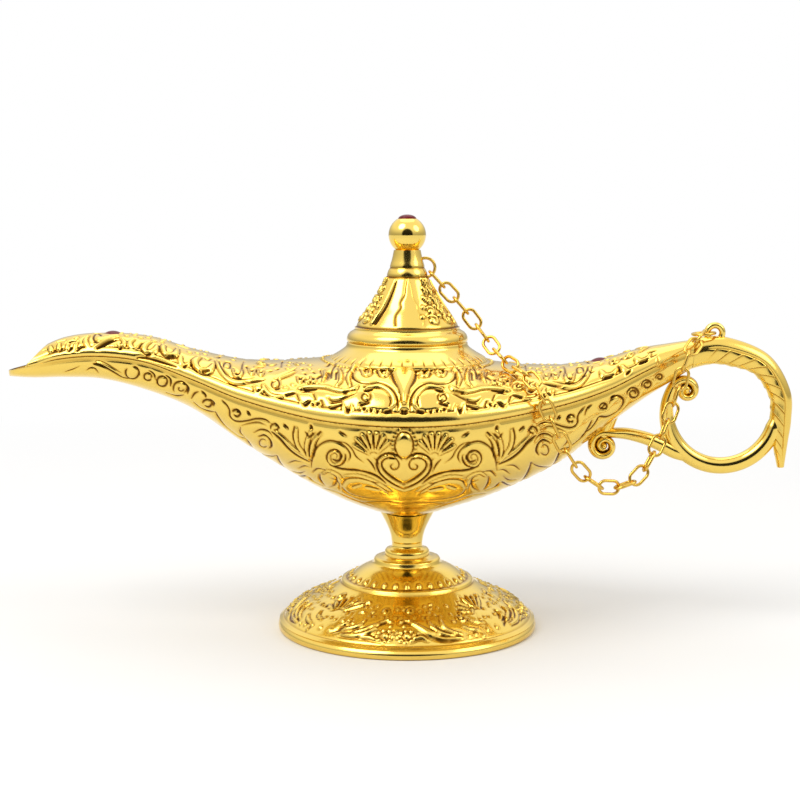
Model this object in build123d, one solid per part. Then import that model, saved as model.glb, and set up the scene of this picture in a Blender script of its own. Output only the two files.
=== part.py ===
from build123d import *
import math
import os

# Genie oil lamp: a boat-shaped body cast in two shells, bolted through a stem to a round foot, with a lifting lid,
# a ring handle at the tail and a cable chain from the lid to the handle. Millimetres, +Z up, +X towards the handle,
# origin at the centre of the foot's underside.

# Body, seen from the side: the spout reaches to -X and the tail to +X
spout_reach = 105.0
tail_reach = 75.0
body_half_width = 33.0
rim_height = 58.2  # parting line of the two shells, over the stem
rim_rise = 15.0  # how far that line climbs on its way to the spout
crown_height = 16.3  # top shell above the parting line, over the stem
bowl_depth = 27.6  # bottom shell below the parting line, over the stem
wall = 1.2
section_power = 2.1  # 2 is an ellipse; more is fuller at the shoulder
spout_lip_radius = 6.3
hood_reach = 99.6  # front edge of the spout's hood, at the parting line
hood_angle = 48.0  # degrees, lean of that edge from level
overrun = 2.0  # how far a cut runs past what it cuts

# Neck collar of the top shell and the seat of the lid
neck_radius = 15.9
neck_bore_radius = 13.6
neck_top = 76.6
collar_drop = 3.0  # height of the concave collar
collar_radius = 18.5
collar_skirt_radius = 21.2
collar_skirt_drop = 4.9
collar_root_drop = 6.0

# Lid: flange, ledge, cone and neck, hollow, with a spigot that drops into the neck bore
spigot_clearance = 0.3
spigot_depth = 4.0
lid_wall = 1.4
flange_height = 2.9
ledge_radius = 15.0
ledge_rise = 3.7
cone_radius = 13.8
cone_foot_rise = 4.8
lid_top_rise = 23.9
lid_top_radius = 3.5
cavity_rise = 13.6
cavity_top_radius = 4.0

# Finial ball on the lid
ball_radius = 4.9
ball_rise = 27.8  # centre of the ball above the lid's seat
peg_radius = 1.1
peg_length = 5.0
seat_clearance = 0.05

# Garnet cabochons
gem_radius = 2.4
gem_height = 1.5
gem_dome = 0.8
gem_proud = 0.55  # top of the gem above the ridge it sits on
bezel_radius = 3.1
bezel_height = 0.1
bezel_floor = 0.6  # metal under the gem
spout_gem_setback = 22.2  # from the front edge of the spout's hood
tail_gem_share = 0.671  # of the tail's reach
lid_gem_radius = 2.45
lid_gem_dome = 1.1

# Foot: a domed casting, hollow below, with two turned rings and a neck
foot_radius = 34.5
foot_rim_height = 2.4
foot_rim_chamfer = 0.5
foot_land = 3.0  # width of the flat ring that the lamp stands on
foot_wall = 1.4
dome_height = 17.0
dome_top_radius = 9.8
lower_ring_radius = 9.0
lower_ring_height = 18.9
upper_ring_radius = 5.9
upper_ring_height = 21.2
foot_neck_radius = 4.05
foot_height = 22.8
foot_ceiling = 14.6  # underside of the foot's solid hub
foot_ceiling_radius = 9.0

# Stem between the foot and the bowl
stem_foot_radius = 4.0
stem_waist_radius = 4.17
stem_flare_radius = 8.4
stem_reach = 33.0

# Tie bolt, washers and nut that hold foot, stem and bowl together
bolt_radius = 2.0
bolt_hole_clearance = 0.15
bolt_head_radius = 3.8
bolt_head_height = 2.4
bolt_head_rounding = 0.8
bolt_slot_width = 1.0
bolt_slot_depth = 1.2
thread_clearance = 0.02
washer_radius = 4.5
washer_thickness = 0.8
nut_across_flats = 7.0
nut_height = 3.2
bolt_tail = 1.2  # thread that shows past the nut
bowl_pad_radius = 6.5
bowl_pad_rise = 3.6  # top of the pad above the underside of the bowl

# Ring handle: a leaf casting over the top and right, and a round rod below and left
ring_centre_x = 83.25
ring_centre_z = 58.0
leaf_half_width = 3.1
leaf_depth = 7.5
rod_ring_radius = 14.6
rod_radius = 2.2
rod_start_angle = -8.0
rod_turn = 199.0
curl_radius = 3.1
curl_thickness = 4.6
curl_rounding = 1.3
curl_x = 73.7
curl_z = 63.4

# Scroll brace under the tail
arm_radius = 1.7
arm_bow = 2.0  # middle of the arm above the straight line between its ends
arm_end_angle = 232.0  # where it joins the rod's ring
volute_radius = 3.7
volute_thickness = 4.4
volute_rounding = 1.2
volute_x = 52.1
volute_z = 48.8
boss_radius = 1.9
boss_height = 7.0
boss_lean = 20.0

# Lug on top of the handle for the chain
lug_x = 80.95
lug_z = 78.75
lug_radius = 2.9
lug_hole_radius = 1.15
lug_thickness = 1.6
lug_foot = 3.6  # half the length of its foot on the leaf
lug_root = 2.6  # how far that foot lies below the hole

# Cable chain and its two wire rings
chain_wire = 0.8
link_length = 6.4
link_width = 4.2
link_play = 0.16
link_count = 29
lid_ring_radius = 2.5  # to the middle of the wire
lid_ring_x = 4.75
lid_ring_rise = 19.3
lid_ring_hook = -44.0  # degrees, where the first link hangs
ring_hole_clearance = 0.15
lug_ring_radius = 2.9
lug_ring_tilt = 4.0
lug_ring_hook = 66.0
end_roll = -21.0  # degrees that the last link is turned about its length, to thread the lug's ring
end_roll_links = 6  # links over which that turn grows
chain_gap = 2.4  # from the top shell to the middle of the chain that lies over it
chain_drop = 18.5  # lowest point of the hanging loop below the parting line

# Stations of the body: place along the reach, then half width, climb of the parting line, crown above it and
# keel below it, as shares of the reach, body_half_width, rim_rise, crown_height and bowl_depth
spout_shares = [
    (1.000, 0.190, 0.720, 0.160, 0.060),
    (0.933, 0.200, 0.827, 0.235, 0.130),
    (0.857, 0.220, 0.950, 0.322, 0.192),
    (0.762, 0.250, 1.000, 0.344, 0.236),
    (0.648, 0.300, 0.920, 0.362, 0.304),
    (0.533, 0.390, 0.653, 0.387, 0.337),
    (0.400, 0.565, 0.333, 0.515, 0.504),
    (0.229, 0.825, 0.093, 0.761, 0.757),
    (0.114, 0.957, 0.023, 0.942, 0.915),
]
middle_shares = (0.0, 1.0, 0.0, 1.0, 1.0)
tail_shares = [
    (0.160, 0.957, 0.023, 0.935, 0.919),
    (0.320, 0.800, 0.093, 0.699, 0.815),
    (0.533, 0.530, 0.240, 0.521, 0.623),
    (0.693, 0.355, 0.453, 0.429, 0.406),
    (0.827, 0.245, 0.747, 0.331, 0.297),
    (0.920, 0.165, 0.940, 0.227, 0.243),
    (1.000, 0.106, 1.080, 0.153, 0.185),
]
# Cone of the lid: radius between lid_top_radius and cone_radius, height between cone_foot_rise and lid_top_rise
cone_shares = [(1.0, 0.0), (0.767, 0.168), (0.553, 0.319), (0.262, 0.586), (0.078, 0.832), (0.0, 1.0)]
hollow_end_share = 0.85  # of the tail's reach, where the hollow stops
section_steps = 8
collar_flare_share = (0.3, 0.55)  # one point of the collar's concave flare, across and down

# Dome of the foot from its rim up: radius between the dome's top and the rim, height between the rim and the top
dome_shares = [
    (0.951, 0.055),
    (0.911, 0.110),
    (0.769, 0.301),
    (0.530, 0.486),
    (0.320, 0.678),
    (0.113, 0.918),
    (0.0, 1.0),
]
dome_inner_shares = (0.55, 0.95)  # how far the wall is taken off across and down
# Flare of the stem: radius between waist and flare, height between foot and reach
flare_shares = [(0.0, 0.04), (0.125, 0.30), (0.41, 0.57), (0.716, 0.81), (1.0, 1.0)]

# Leaf casting: degrees round the ring, distance from its centre as a share of rod_ring_radius, lean of the leaf
# from +X in degrees, then depth and half width as shares of leaf_depth and leaf_half_width
leaf_shares = [
    (104.5, 1.137, 4.0, 1.00, 1.00),
    (85.5, 1.086, -4.0, 0.99, 1.00),
    (50.7, 1.096, -40.0, 0.86, 0.95),
    (17.6, 1.089, -73.0, 0.78, 0.90),
    (-7.3, 1.082, -93.0, 0.75, 0.82),
    (-27.0, 1.205, -92.0, 0.50, 0.60),
    (-43.1, 1.504, -86.0, 0.12, 0.20),
]
leaf_root_share = 0.94  # half width of the leaf's root against the tail's end

# Route of the chain. Past the lid: radius as a share of neck_radius, way forward as a share of body_half_width and
# height as a share of lid_top_rise over neck_top. Over the shoulder: x as a share of tail_reach and way forward.
# Hanging: the same two, then the drop below rim_height as a share of chain_drop, or with a minus the climb from
# rim_height towards the lug
lid_route_shares = [(0.944, 0.018, 0.351), (1.283, 0.103, 0.055)]
shoulder_route_shares = [(0.332, 0.31), (0.416, 0.57)]
rim_route_share = 0.456
hanging_route_shares = [
    (0.504, 0.676, 0.18),
    (0.571, 0.636, 0.66),
    (0.661, 0.576, 0.97),
    (0.776, 0.485, 0.90),
    (0.855, 0.400, 0.43),
    (0.928, 0.290, -0.26),
    (0.959, 0.282, -0.71),
    (1.003, 0.191, -0.927),
]
route_steps = 40


def stations():
    """Every station from the spout to the tail as (x, half width, rim z, crown, depth)."""
    rows = [(-spout_reach * s[0], s) for s in spout_shares]
    rows += [(middle_shares[0], middle_shares)]
    rows += [(tail_reach * s[0], s) for s in tail_shares]
    return [
        (x, body_half_width * s[1], rim_height + rim_rise * s[2], crown_height * s[3], bowl_depth * s[4])
        for x, s in rows
    ]


def between(x, column):
    """One column of the stations at any x, on a smooth curve through them."""
    rows = stations()
    i = max(k for k in range(len(rows) - 1) if rows[k][0] <= x or k == 0)
    before, here, there, after = rows[max(i - 1, 0)], rows[i], rows[i + 1], rows[min(i + 2, len(rows) - 1)]
    run = there[0] - here[0]
    share = (x - here[0]) / run
    slope_here = (there[column] - before[column]) / (there[0] - before[0])
    slope_there = (after[column] - here[column]) / (after[0] - here[0])
    return (
        here[column] * (2 * share**3 - 3 * share**2 + 1)
        + slope_here * run * (share**3 - 2 * share**2 + share)
        + there[column] * (3 * share**2 - 2 * share**3)
        + slope_there * run * (share**3 - share**2)
    )


def crown_surface(x, y):
    """Height of the top shell at x and y."""
    across = min(abs(y) / between(x, 1), 1)
    return between(x, 2) + between(x, 3) * (1 - across**section_power) ** (1 / section_power)


def side_outline(x, half_width, rim, crown, depth, side):
    """One side of a cross-section, from the ridge round the parting line to the keel."""
    points = []
    for step in range(section_steps + 1):
        turn = math.pi * (0.5 - step / section_steps)
        across = abs(math.cos(turn)) ** (2 / section_power)
        climb = math.copysign(abs(math.sin(turn)) ** (2 / section_power), turn)
        points.append((x, side * half_width * across, rim + climb * (crown if turn > 0 else depth)))
    points[0], points[-1] = (x, 0, rim + crown), (x, 0, rim - depth)
    return Spline(*points, tangents=[(0, side, 0), (0, -side, 0)])


def section(x, half_width, rim, crown, depth):
    sides = [side_outline(x, half_width, rim, crown, depth, side) for side in (1, -1)]
    return Face(Wire(sides))


def body_block():
    """The whole outside of the body as one solid, with the spout's lip rounded in plan."""
    block = loft([section(*row) for row in stations()])
    tall = 2 * (rim_height + crown_height)
    lip_x = -spout_reach + spout_lip_radius
    round_lip = Pos(lip_x, 0, tall / 2) * Cylinder(spout_lip_radius, tall)
    rest = spout_reach + tail_reach
    behind = Pos(lip_x + rest / 2, 0, tall / 2) * Box(rest, 4 * body_half_width, tall)
    return block & (round_lip + behind)


def body_hollow():
    """The space inside the body, open at the spout and ending before the tail."""
    rows = [(x, w - wall, rim, crown - wall, depth - wall) for x, w, rim, crown, depth in stations()]
    rows = [row for row in rows if row[0] <= tail_reach * hollow_end_share]
    first = rows[0]
    rows.insert(0, (first[0] - overrun,) + first[1:])
    return loft([section(*row) for row in rows])


def below_parting():
    """A block that fills everything below the parting line, which is curved in side view."""
    line = [(x, rim) for x, _, rim, _, _ in stations()]
    line = [(line[0][0] - overrun, line[0][1])] + line + [(line[-1][0] + overrun, line[-1][1])]
    curve = Spline(*[(x, 0, z) for x, z in line])
    left, right = line[0][0], line[-1][0]
    floor = Polyline((right, 0, line[-1][1]), (right, 0, 0), (left, 0, 0), (left, 0, line[0][1]))
    face = Face(Wire([curve, *floor.edges()]))
    return extrude(face, amount=2 * body_half_width, dir=(0, 1, 0), both=True)


def upright(radius, bottom, top, x=0.0):
    """A round bar standing on Z between two heights."""
    return Pos(x, 0, (bottom + top) / 2) * Cylinder(radius, top - bottom)


def turned(*outline):
    """A solid turned about Z from (radius, height) points and curves given as lists of points."""
    edges, last = [], None
    for piece in outline:
        points = [(r, 0, z) for r, z in piece]
        if last is not None and (Vector(last) - Vector(points[0])).length > 0:
            edges.append(Line(last, points[0]))
        edges.append(Spline(*points) if len(points) > 2 else Line(*points))
        last = points[-1]
    start = edges[0] @ 0
    if (Vector(last) - start).length > 0:
        edges.append(Line(last, start))
    return revolve(Face(Wire(edges)), Axis.Z)


def seat_frame(x):
    """The place of a gem on the ridge, leaning with the ridge."""
    step = wall
    ridge = between(x, 2) + between(x, 3)
    onward = between(x + step, 2) + between(x + step, 3)
    return Pos(x, 0, ridge) * Rot(0, -math.degrees(math.atan2(onward - ridge, step)), 0)


def gem_solid(radius, height, dome):
    """A cabochon on its flat back: a short cylinder under a dome, centred on its back."""
    ball = (radius**2 + dome**2) / (2 * dome)
    side = height - dome
    blank = Pos(0, 0, height / 2) * Cylinder(radius, height)
    return blank & (Pos(0, 0, height - ball) * Sphere(ball)) if side > 0 else blank


block = body_block()
hollow = body_hollow()
lower_block = below_parting()
shell = block - hollow

# Bottom shell, with a pad inside for the tie bolt's nut
bolt_hole_radius = bolt_radius + bolt_hole_clearance
keel_height = rim_height - bowl_depth
bowl_pad_height = keel_height + bowl_pad_rise
bolt_hole = upright(bolt_hole_radius, foot_ceiling - overrun, bowl_pad_height + overrun)
bowl_pad = upright(bowl_pad_radius, keel_height - overrun, bowl_pad_height) & block
lower_shell = (shell & lower_block) + bowl_pad - bolt_hole

# Top shell, with the neck collar, the leaning mouth of the spout's hood and the gem seats
neck_bottom = neck_top - collar_root_drop
collar = turned(
    [(neck_bore_radius, neck_bottom), (neck_bore_radius, neck_top)],
    [
        (neck_radius, neck_top),
        (
            neck_radius + (collar_radius - neck_radius) * collar_flare_share[0],
            neck_top - collar_drop * collar_flare_share[1],
        ),
        (collar_radius, neck_top - collar_drop),
        (collar_skirt_radius, neck_top - collar_skirt_drop),
    ],
    [(collar_skirt_radius, neck_bottom), (neck_bore_radius, neck_bottom)],
)
neck_bore = upright(neck_bore_radius, rim_height, neck_top + overrun)
mouth_tall = 4 * crown_height
mouth_cut = (
    Pos(-hood_reach, 0, between(-hood_reach, 2))
    * Rot(0, 90 - hood_angle, 0)
    * Pos(-mouth_tall / 2, 0, 0)
    * Box(mouth_tall, 4 * spout_lip_radius, mouth_tall)
)
spout_seat = seat_frame(spout_gem_setback - hood_reach)
tail_seat = seat_frame(tail_reach * tail_gem_share)
gem_sink = gem_height - gem_proud
bezel_depth = gem_sink + bezel_floor
upper_shell = (shell - lower_block - mouth_cut) + collar - neck_bore
for seat in (spout_seat, tail_seat):
    bezel = seat * Pos(0, 0, (bezel_height - bezel_depth) / 2) * Cylinder(bezel_radius, bezel_height + bezel_depth)
    pocket = seat * Pos(0, 0, overrun / 2 - gem_sink) * Cylinder(gem_radius + seat_clearance, overrun)
    upper_shell = upper_shell + bezel - pocket
spout_gem = spout_seat * Pos(0, 0, -gem_sink) * gem_solid(gem_radius, gem_height, gem_dome)
tail_gem = tail_seat * Pos(0, 0, -gem_sink) * gem_solid(gem_radius, gem_height, gem_dome)

# Foot
hub_hole = [(bolt_hole_radius, foot_height), (bolt_hole_radius, foot_ceiling)]
dome_span = (foot_radius - dome_top_radius, dome_height - foot_rim_height)
dome = [(dome_top_radius + dome_span[0] * r, foot_rim_height + dome_span[1] * z) for r, z in dome_shares]
dome_inside = [
    (r - foot_wall * dome_inner_shares[0], z - foot_wall * dome_inner_shares[1]) for r, z in dome[1:-1]
]
ring_step = (lower_ring_height - dome_height) / 2
foot = turned(
    [(foot_radius - foot_land, 0), (foot_radius - foot_rim_chamfer, 0)],
    [(foot_radius, foot_rim_chamfer), (foot_radius, foot_rim_height)],
    dome,
    [(lower_ring_radius, dome_height), (lower_ring_radius, lower_ring_height - ring_step)],
    [(lower_ring_radius - ring_step, lower_ring_height), (upper_ring_radius, lower_ring_height)],
    [(upper_ring_radius, lower_ring_height), (upper_ring_radius, upper_ring_height - ring_step)],
    [(upper_ring_radius - ring_step, upper_ring_height), (foot_neck_radius, upper_ring_height)],
    [(foot_neck_radius, upper_ring_height), (foot_neck_radius, foot_height)],
    hub_hole,
    [(bolt_hole_radius, foot_ceiling), (foot_ceiling_radius, foot_ceiling)],
    dome_inside[::-1],
)

# Stem, cut to the bowl's underside
flare_span = (stem_flare_radius - stem_waist_radius, stem_reach - foot_height)
flare = [(stem_waist_radius + flare_span[0] * r, foot_height + flare_span[1] * z) for r, z in flare_shares]
stem = turned(
    [(bolt_hole_radius, foot_height), (stem_foot_radius, foot_height)],
    flare,
    [(bolt_hole_radius, stem_reach), (bolt_hole_radius, foot_height)],
)
stem = stem - block

# Tie bolt from below, a washer under its head, and a washer and nut on the pad in the bowl
washer_seat = foot_ceiling - washer_thickness
nut_seat = bowl_pad_height + washer_thickness
bolt_end = nut_seat + nut_height + bolt_tail
bolt_head = fillet(
    Cylinder(bolt_head_radius, bolt_head_height).edges().filter_by(GeomType.CIRCLE).sort_by(Axis.Z)[0],
    bolt_head_rounding,
)
head_middle = washer_seat - bolt_head_height / 2
slot = Pos(0, 0, (bolt_slot_depth - bolt_head_height) / 2) * Box(
    2 * bolt_head_radius, bolt_slot_width, bolt_slot_depth
)
tie_bolt = Pos(0, 0, head_middle) * (bolt_head - slot) + upright(bolt_radius, head_middle, bolt_end)
head_washer = upright(washer_radius, washer_seat, foot_ceiling) - bolt_hole
nut_washer = upright(washer_radius, bowl_pad_height, nut_seat) - bolt_hole
tie_nut = extrude(RegularPolygon(nut_across_flats / 2, 6, major_radius=False), nut_height)
tie_nut = Pos(0, 0, nut_seat) * tie_nut - upright(bolt_radius + thread_clearance, nut_seat, bolt_end)

# Lid, hollow, with a cup for the ball, a hole for its peg and a curved hole for the wire ring
spigot_radius = neck_bore_radius - spigot_clearance
spigot_inside = spigot_radius - lid_wall
ball_z = neck_top + ball_rise
cone_span = (cone_radius - lid_top_radius, lid_top_rise - cone_foot_rise)
cone_foot = neck_top + cone_foot_rise
cone = [(lid_top_radius + cone_span[0] * r, cone_foot + cone_span[1] * z) for r, z in cone_shares]
lid = turned(
    [(spigot_inside, neck_top - spigot_depth), (spigot_radius, neck_top - spigot_depth)],
    [(spigot_radius, neck_top), (neck_radius, neck_top)],
    [(neck_radius, neck_top + seat_clearance), (ledge_radius, neck_top + flange_height)],
    [(ledge_radius, neck_top + ledge_rise), (cone_radius, neck_top + ledge_rise)],
    cone,
    [(0, neck_top + lid_top_rise), (0, neck_top + cavity_rise)],
    [(0, neck_top + cavity_rise), (cavity_top_radius, neck_top + cavity_rise)],
    [(spigot_inside, cone_foot - lid_wall), (spigot_inside, neck_top - spigot_depth)],
)
peg_hole = upright(peg_radius + seat_clearance, ball_z - ball_radius - peg_length, ball_z)
lid_ring_place = Pos(lid_ring_x, 0, neck_top + lid_ring_rise) * Rot(90, 0, 0)
lid_ring = lid_ring_place * Torus(lid_ring_radius, chain_wire / 2)
ring_hole = lid_ring_place * Torus(lid_ring_radius, chain_wire / 2 + ring_hole_clearance)
lid = lid - Pos(0, 0, ball_z) * Sphere(ball_radius + seat_clearance) - peg_hole - ring_hole

# Finial ball with its peg, flat on top under the gem
gem_flat_z = ball_z + math.sqrt(ball_radius**2 - lid_gem_radius**2)
ball_top = ball_z + ball_radius
flat_cut = upright(2 * ball_radius, gem_flat_z, ball_top + overrun)
peg = upright(peg_radius, ball_z - ball_radius - peg_length + seat_clearance, ball_z)
finial_ball = Pos(0, 0, ball_z) * Sphere(ball_radius) - flat_cut + peg
lid_gem = Pos(0, 0, gem_flat_z) * gem_solid(lid_gem_radius, lid_gem_dome, lid_gem_dome)


def leaf_section(x, z, lean, depth, half_width):
    lean = math.radians(lean)
    plane = Plane(origin=(x, 0, z), x_dir=(0, 1, 0), z_dir=(math.cos(lean), 0, math.sin(lean)))
    return plane * Ellipse(half_width, depth / 2)


# Leaf casting of the handle, lofted from the tail's end face round to its pointed tip
tail_x, tail_width, tail_rim, tail_crown, tail_depth = stations()[-1]
leaf_sections = [
    leaf_section(
        tail_x,
        tail_rim + (tail_crown - tail_depth) / 2,
        0.0,
        tail_crown + tail_depth,
        tail_width * leaf_root_share,
    )
]
for angle, away, lean, depth_share, width_share in leaf_shares:
    leaf_sections.append(
        leaf_section(
            ring_centre_x + rod_ring_radius * away * math.cos(math.radians(angle)),
            ring_centre_z + rod_ring_radius * away * math.sin(math.radians(angle)),
            lean,
            leaf_depth * depth_share,
            leaf_half_width * width_share,
        )
    )
handle_leaf = loft(leaf_sections)


def bent_rod(path, radius):
    return sweep(Plane(origin=path @ 0, z_dir=path % 0) * Circle(radius), path=path)


def scroll_eye(x, z, radius, thickness, rounding):
    """The round end of a scroll: a disc across the handle with rounded edges."""
    disc = Rot(90, 0, 0) * Cylinder(radius, thickness)
    return Pos(x, 0, z) * fillet(disc.edges().filter_by(GeomType.CIRCLE), rounding)


def on_ring(angle):
    turn = math.radians(angle)
    return (ring_centre_x + rod_ring_radius * math.cos(turn), 0, ring_centre_z + rod_ring_radius * math.sin(turn))


# Rod of the handle, from under the leaf down and round to the curl beneath the tail
rod_path = ThreePointArc(
    on_ring(rod_start_angle), on_ring(rod_start_angle - rod_turn / 2), on_ring(rod_start_angle - rod_turn)
)
rod_curl = scroll_eye(curl_x, curl_z, curl_radius, curl_thickness, curl_rounding)
handle_rod = bent_rod(rod_path, rod_radius) + rod_curl - handle_leaf - block

# Scroll brace: an arm from the rod's ring to a volute, with a boss up to the tail's keel
arm_start = Vector(volute_x, 0, volute_z + volute_radius - arm_radius)
arm_end = Vector(*on_ring(arm_end_angle))
chord = arm_end - arm_start
arm_middle = arm_start + chord / 2 + Vector(-chord.Z, 0, chord.X).normalized() * arm_bow
arm = bent_rod(ThreePointArc(arm_start, arm_middle, arm_end), arm_radius)
volute = scroll_eye(volute_x, volute_z, volute_radius, volute_thickness, volute_rounding)
boss = (
    Pos(volute_x, 0, volute_z + volute_radius - arm_radius)
    * Rot(0, boss_lean, 0)
    * Pos(0, 0, boss_height / 2)
    * Cylinder(boss_radius, boss_height)
)
handle_scroll = arm + volute + boss - handle_rod - block

# Lug for the chain, its foot shaped to the leaf
lug_plate = make_hull(
    [
        *(Pos(lug_x, lug_z) * Circle(lug_radius)).edges(),
        Line((lug_x - lug_foot, lug_z - lug_root), (lug_x + lug_foot, lug_z - lug_root)),
    ]
)
lug_blank = extrude(Plane.XZ * lug_plate, lug_thickness / 2, both=True)
lug_hole = Pos(lug_x, 0, lug_z) * Rot(90, 0, 0) * Cylinder(lug_hole_radius, lug_thickness + overrun)
chain_lug = lug_blank - handle_leaf - lug_hole

# Jump ring through the lug's hole, lying back towards the tail
ring_lean = math.radians(lug_ring_tilt)
ring_back = Vector(-math.cos(ring_lean), 0, -math.sin(ring_lean))
lug_ring_centre = Vector(lug_x, 0, lug_z) + ring_back * lug_ring_radius
lug_ring_plane = Plane(origin=lug_ring_centre, x_dir=ring_back, z_dir=ring_back.cross(Vector(0, 1, 0)))
lug_ring = lug_ring_plane * Torus(lug_ring_radius, chain_wire / 2)

# Joints of the chain
wire_spacing = chain_wire + link_play  # between the middles of two wires that hook into each other
pitch = link_length - chain_wire - wire_spacing


def route(drop):
    """Points close together along the chain's middle line, for one drop of the hanging loop."""
    hook = math.radians(lid_ring_hook)
    start = Vector(
        lid_ring_x + lid_ring_radius * math.cos(hook), 0, neck_top + lid_ring_rise + lid_ring_radius * math.sin(hook)
    )
    hook = math.radians(lug_ring_hook)
    end = lug_ring_centre + (ring_back * math.cos(hook) + Vector(0, -1, 0) * math.sin(hook)) * lug_ring_radius
    points = [start]
    for out, forward, up in lid_route_shares:
        points.append(Vector(neck_radius * out, -body_half_width * forward, neck_top + lid_top_rise * up))
    for along, forward in shoulder_route_shares:
        x, y = tail_reach * along, body_half_width * forward
        step = wall
        slope = (crown_surface(x, y - step) - crown_surface(x, y)) / step
        points.append(Vector(x, -y, crown_surface(x, y) + chain_gap * math.hypot(1, slope)))
    x = tail_reach * rim_route_share
    points.append(Vector(x, -between(x, 1) - chain_gap, between(x, 2) + chain_gap))
    for along, forward, down in hanging_route_shares:
        climb = -drop * down if down > 0 else (lug_z - rim_height) * -down
        points.append(Vector(tail_reach * along, -body_half_width * forward, rim_height + climb))
    points.append(end)
    line = []
    for i in range(len(points) - 1):
        here, there = points[i], points[i + 1]
        leave = (there - points[i - 1]) / 2 if i else there - here
        arrive = (points[i + 2] - here) / 2 if i + 2 < len(points) else there - here
        for step in range(route_steps):
            s = step / route_steps
            line.append(
                here * (2 * s**3 - 3 * s**2 + 1)
                + leave * (s**3 - 2 * s**2 + s)
                + there * (3 * s**2 - 2 * s**3)
                + arrive * (s**3 - s**2)
            )
    return line + [end]


def walk(line):
    """Joints a pitch apart along the line. Returns them and how much line is left over at the last one."""
    reach = pitch - wire_spacing / 2
    joints, here, i = [], line[0], 0
    while len(joints) < link_count - 1:
        while i < len(line) and (line[i] - here).length < reach:
            i += 1
        if i == len(line):
            return joints, len(joints) - link_count
        a, b = line[i - 1], line[i]
        near, far = 0.0, 1.0
        for _ in range(route_steps):
            middle = (near + far) / 2
            if (a + (b - a) * middle - here).length < reach:
                near = middle
            else:
                far = middle
        here = a + (b - a) * near
        joints.append(here)
        reach = pitch
    return joints, (line[-1] - here).length - (pitch - wire_spacing / 2)


def chain_joints():
    """The joints of every link, with the hanging loop just deep enough to use the whole chain."""
    shallow, deep = chain_drop / 2, chain_drop * 2
    for _ in range(route_steps):
        drop = (shallow + deep) / 2
        joints, left = walk(route(drop))
        if left > 0:
            deep = drop
        else:
            shallow = drop
    line = route(shallow)
    joints, left = walk(line)
    start, end = line[0], line[-1]
    first = start - (joints[0] - start).normalized() * wire_spacing / 2
    last = end + (end - joints[-1]).normalized() * wire_spacing / 2
    return [first] + joints + [last], shallow


def link_solid():
    """One link, long on X and flat on XY: two half rings joined by two straight wires."""
    outline = SlotOverall(link_length - chain_wire, link_width - chain_wire).wire()
    start = outline @ 0
    return sweep(Plane(origin=start, z_dir=outline % 0) * Circle(chain_wire / 2), path=outline)


joints, loop_drop = chain_joints()
straight_link = link_solid()
nodes = {}
for number in range(link_count):
    near, far = joints[number], joints[number + 1]
    along = (far - near).normalized()
    across = along.cross(Vector(0, 1, 0)).normalized()
    flat = along.cross(across) if number % 2 else across
    roll = end_roll * max(0, 1 - (link_count - 1 - number) / end_roll_links)
    place = Plane(origin=(near + far) / 2, x_dir=along, z_dir=flat) * Rot(roll, 0, 0)
    nodes[f"chain_link_{number + 1:02d}"] = place * straight_link

nodes.update(
    foot=foot,
    stem=stem,
    lower_shell=lower_shell,
    upper_shell=upper_shell,
    tie_bolt=tie_bolt,
    head_washer=head_washer,
    nut_washer=nut_washer,
    tie_nut=tie_nut,
    handle_leaf=handle_leaf,
    handle_rod=handle_rod,
    handle_scroll=handle_scroll,
    chain_lug=chain_lug,
    lug_ring=lug_ring,
    lid=lid,
    finial_ball=finial_ball,
    lid_ring=lid_ring,
    lid_gem=lid_gem,
    spout_gem=spout_gem,
    tail_gem=tail_gem,
)

os.makedirs("parts", exist_ok=True)
for name, shape in nodes.items():
    export_step(shape, f"parts/{name}.step")
print("pieces:", len(nodes), "chain pitch:", round(pitch, 3), "loop drop:", round(loop_drop, 3))
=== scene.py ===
import math
import bmesh
import bpy
import numpy as np
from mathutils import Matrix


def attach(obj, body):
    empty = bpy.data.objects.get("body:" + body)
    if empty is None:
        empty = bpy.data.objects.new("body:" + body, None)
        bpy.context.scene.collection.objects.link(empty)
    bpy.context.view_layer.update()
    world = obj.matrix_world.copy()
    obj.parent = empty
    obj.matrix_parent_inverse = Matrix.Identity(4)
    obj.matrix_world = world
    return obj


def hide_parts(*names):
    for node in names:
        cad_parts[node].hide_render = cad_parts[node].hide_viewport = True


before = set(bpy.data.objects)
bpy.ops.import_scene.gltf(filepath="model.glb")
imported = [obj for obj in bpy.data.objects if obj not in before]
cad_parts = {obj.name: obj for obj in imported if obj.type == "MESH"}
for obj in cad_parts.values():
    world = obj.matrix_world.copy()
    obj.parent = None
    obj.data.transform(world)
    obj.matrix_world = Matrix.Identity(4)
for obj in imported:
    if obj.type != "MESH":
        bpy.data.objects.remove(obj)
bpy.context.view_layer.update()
mm = 0.001
front = -90.0  # degrees, the way the camera looks from

print("sizes of the body")
body = {
    "spoutReach": 105.0, "tailReach": 75.0, "halfWidth": 33.0, "rimHeight": 58.2, "rimRise": 15.0,
    "crown": 16.3, "depth": 27.6, "wall": 1.2, "power": 2.1, "lipRadius": 6.3, "hoodReach": 99.6,
    "hoodAngle": 48.0, "neckHole": 14.5, "neckBore": 13.6, "columns": 610, "lipColumns": 36,
    "outerRows": 140, "innerRows": 11, "tailGap": 0.05, "lipStart": 0.06, "hoodLean": 30, "lipPlain": 3,
}
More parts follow.
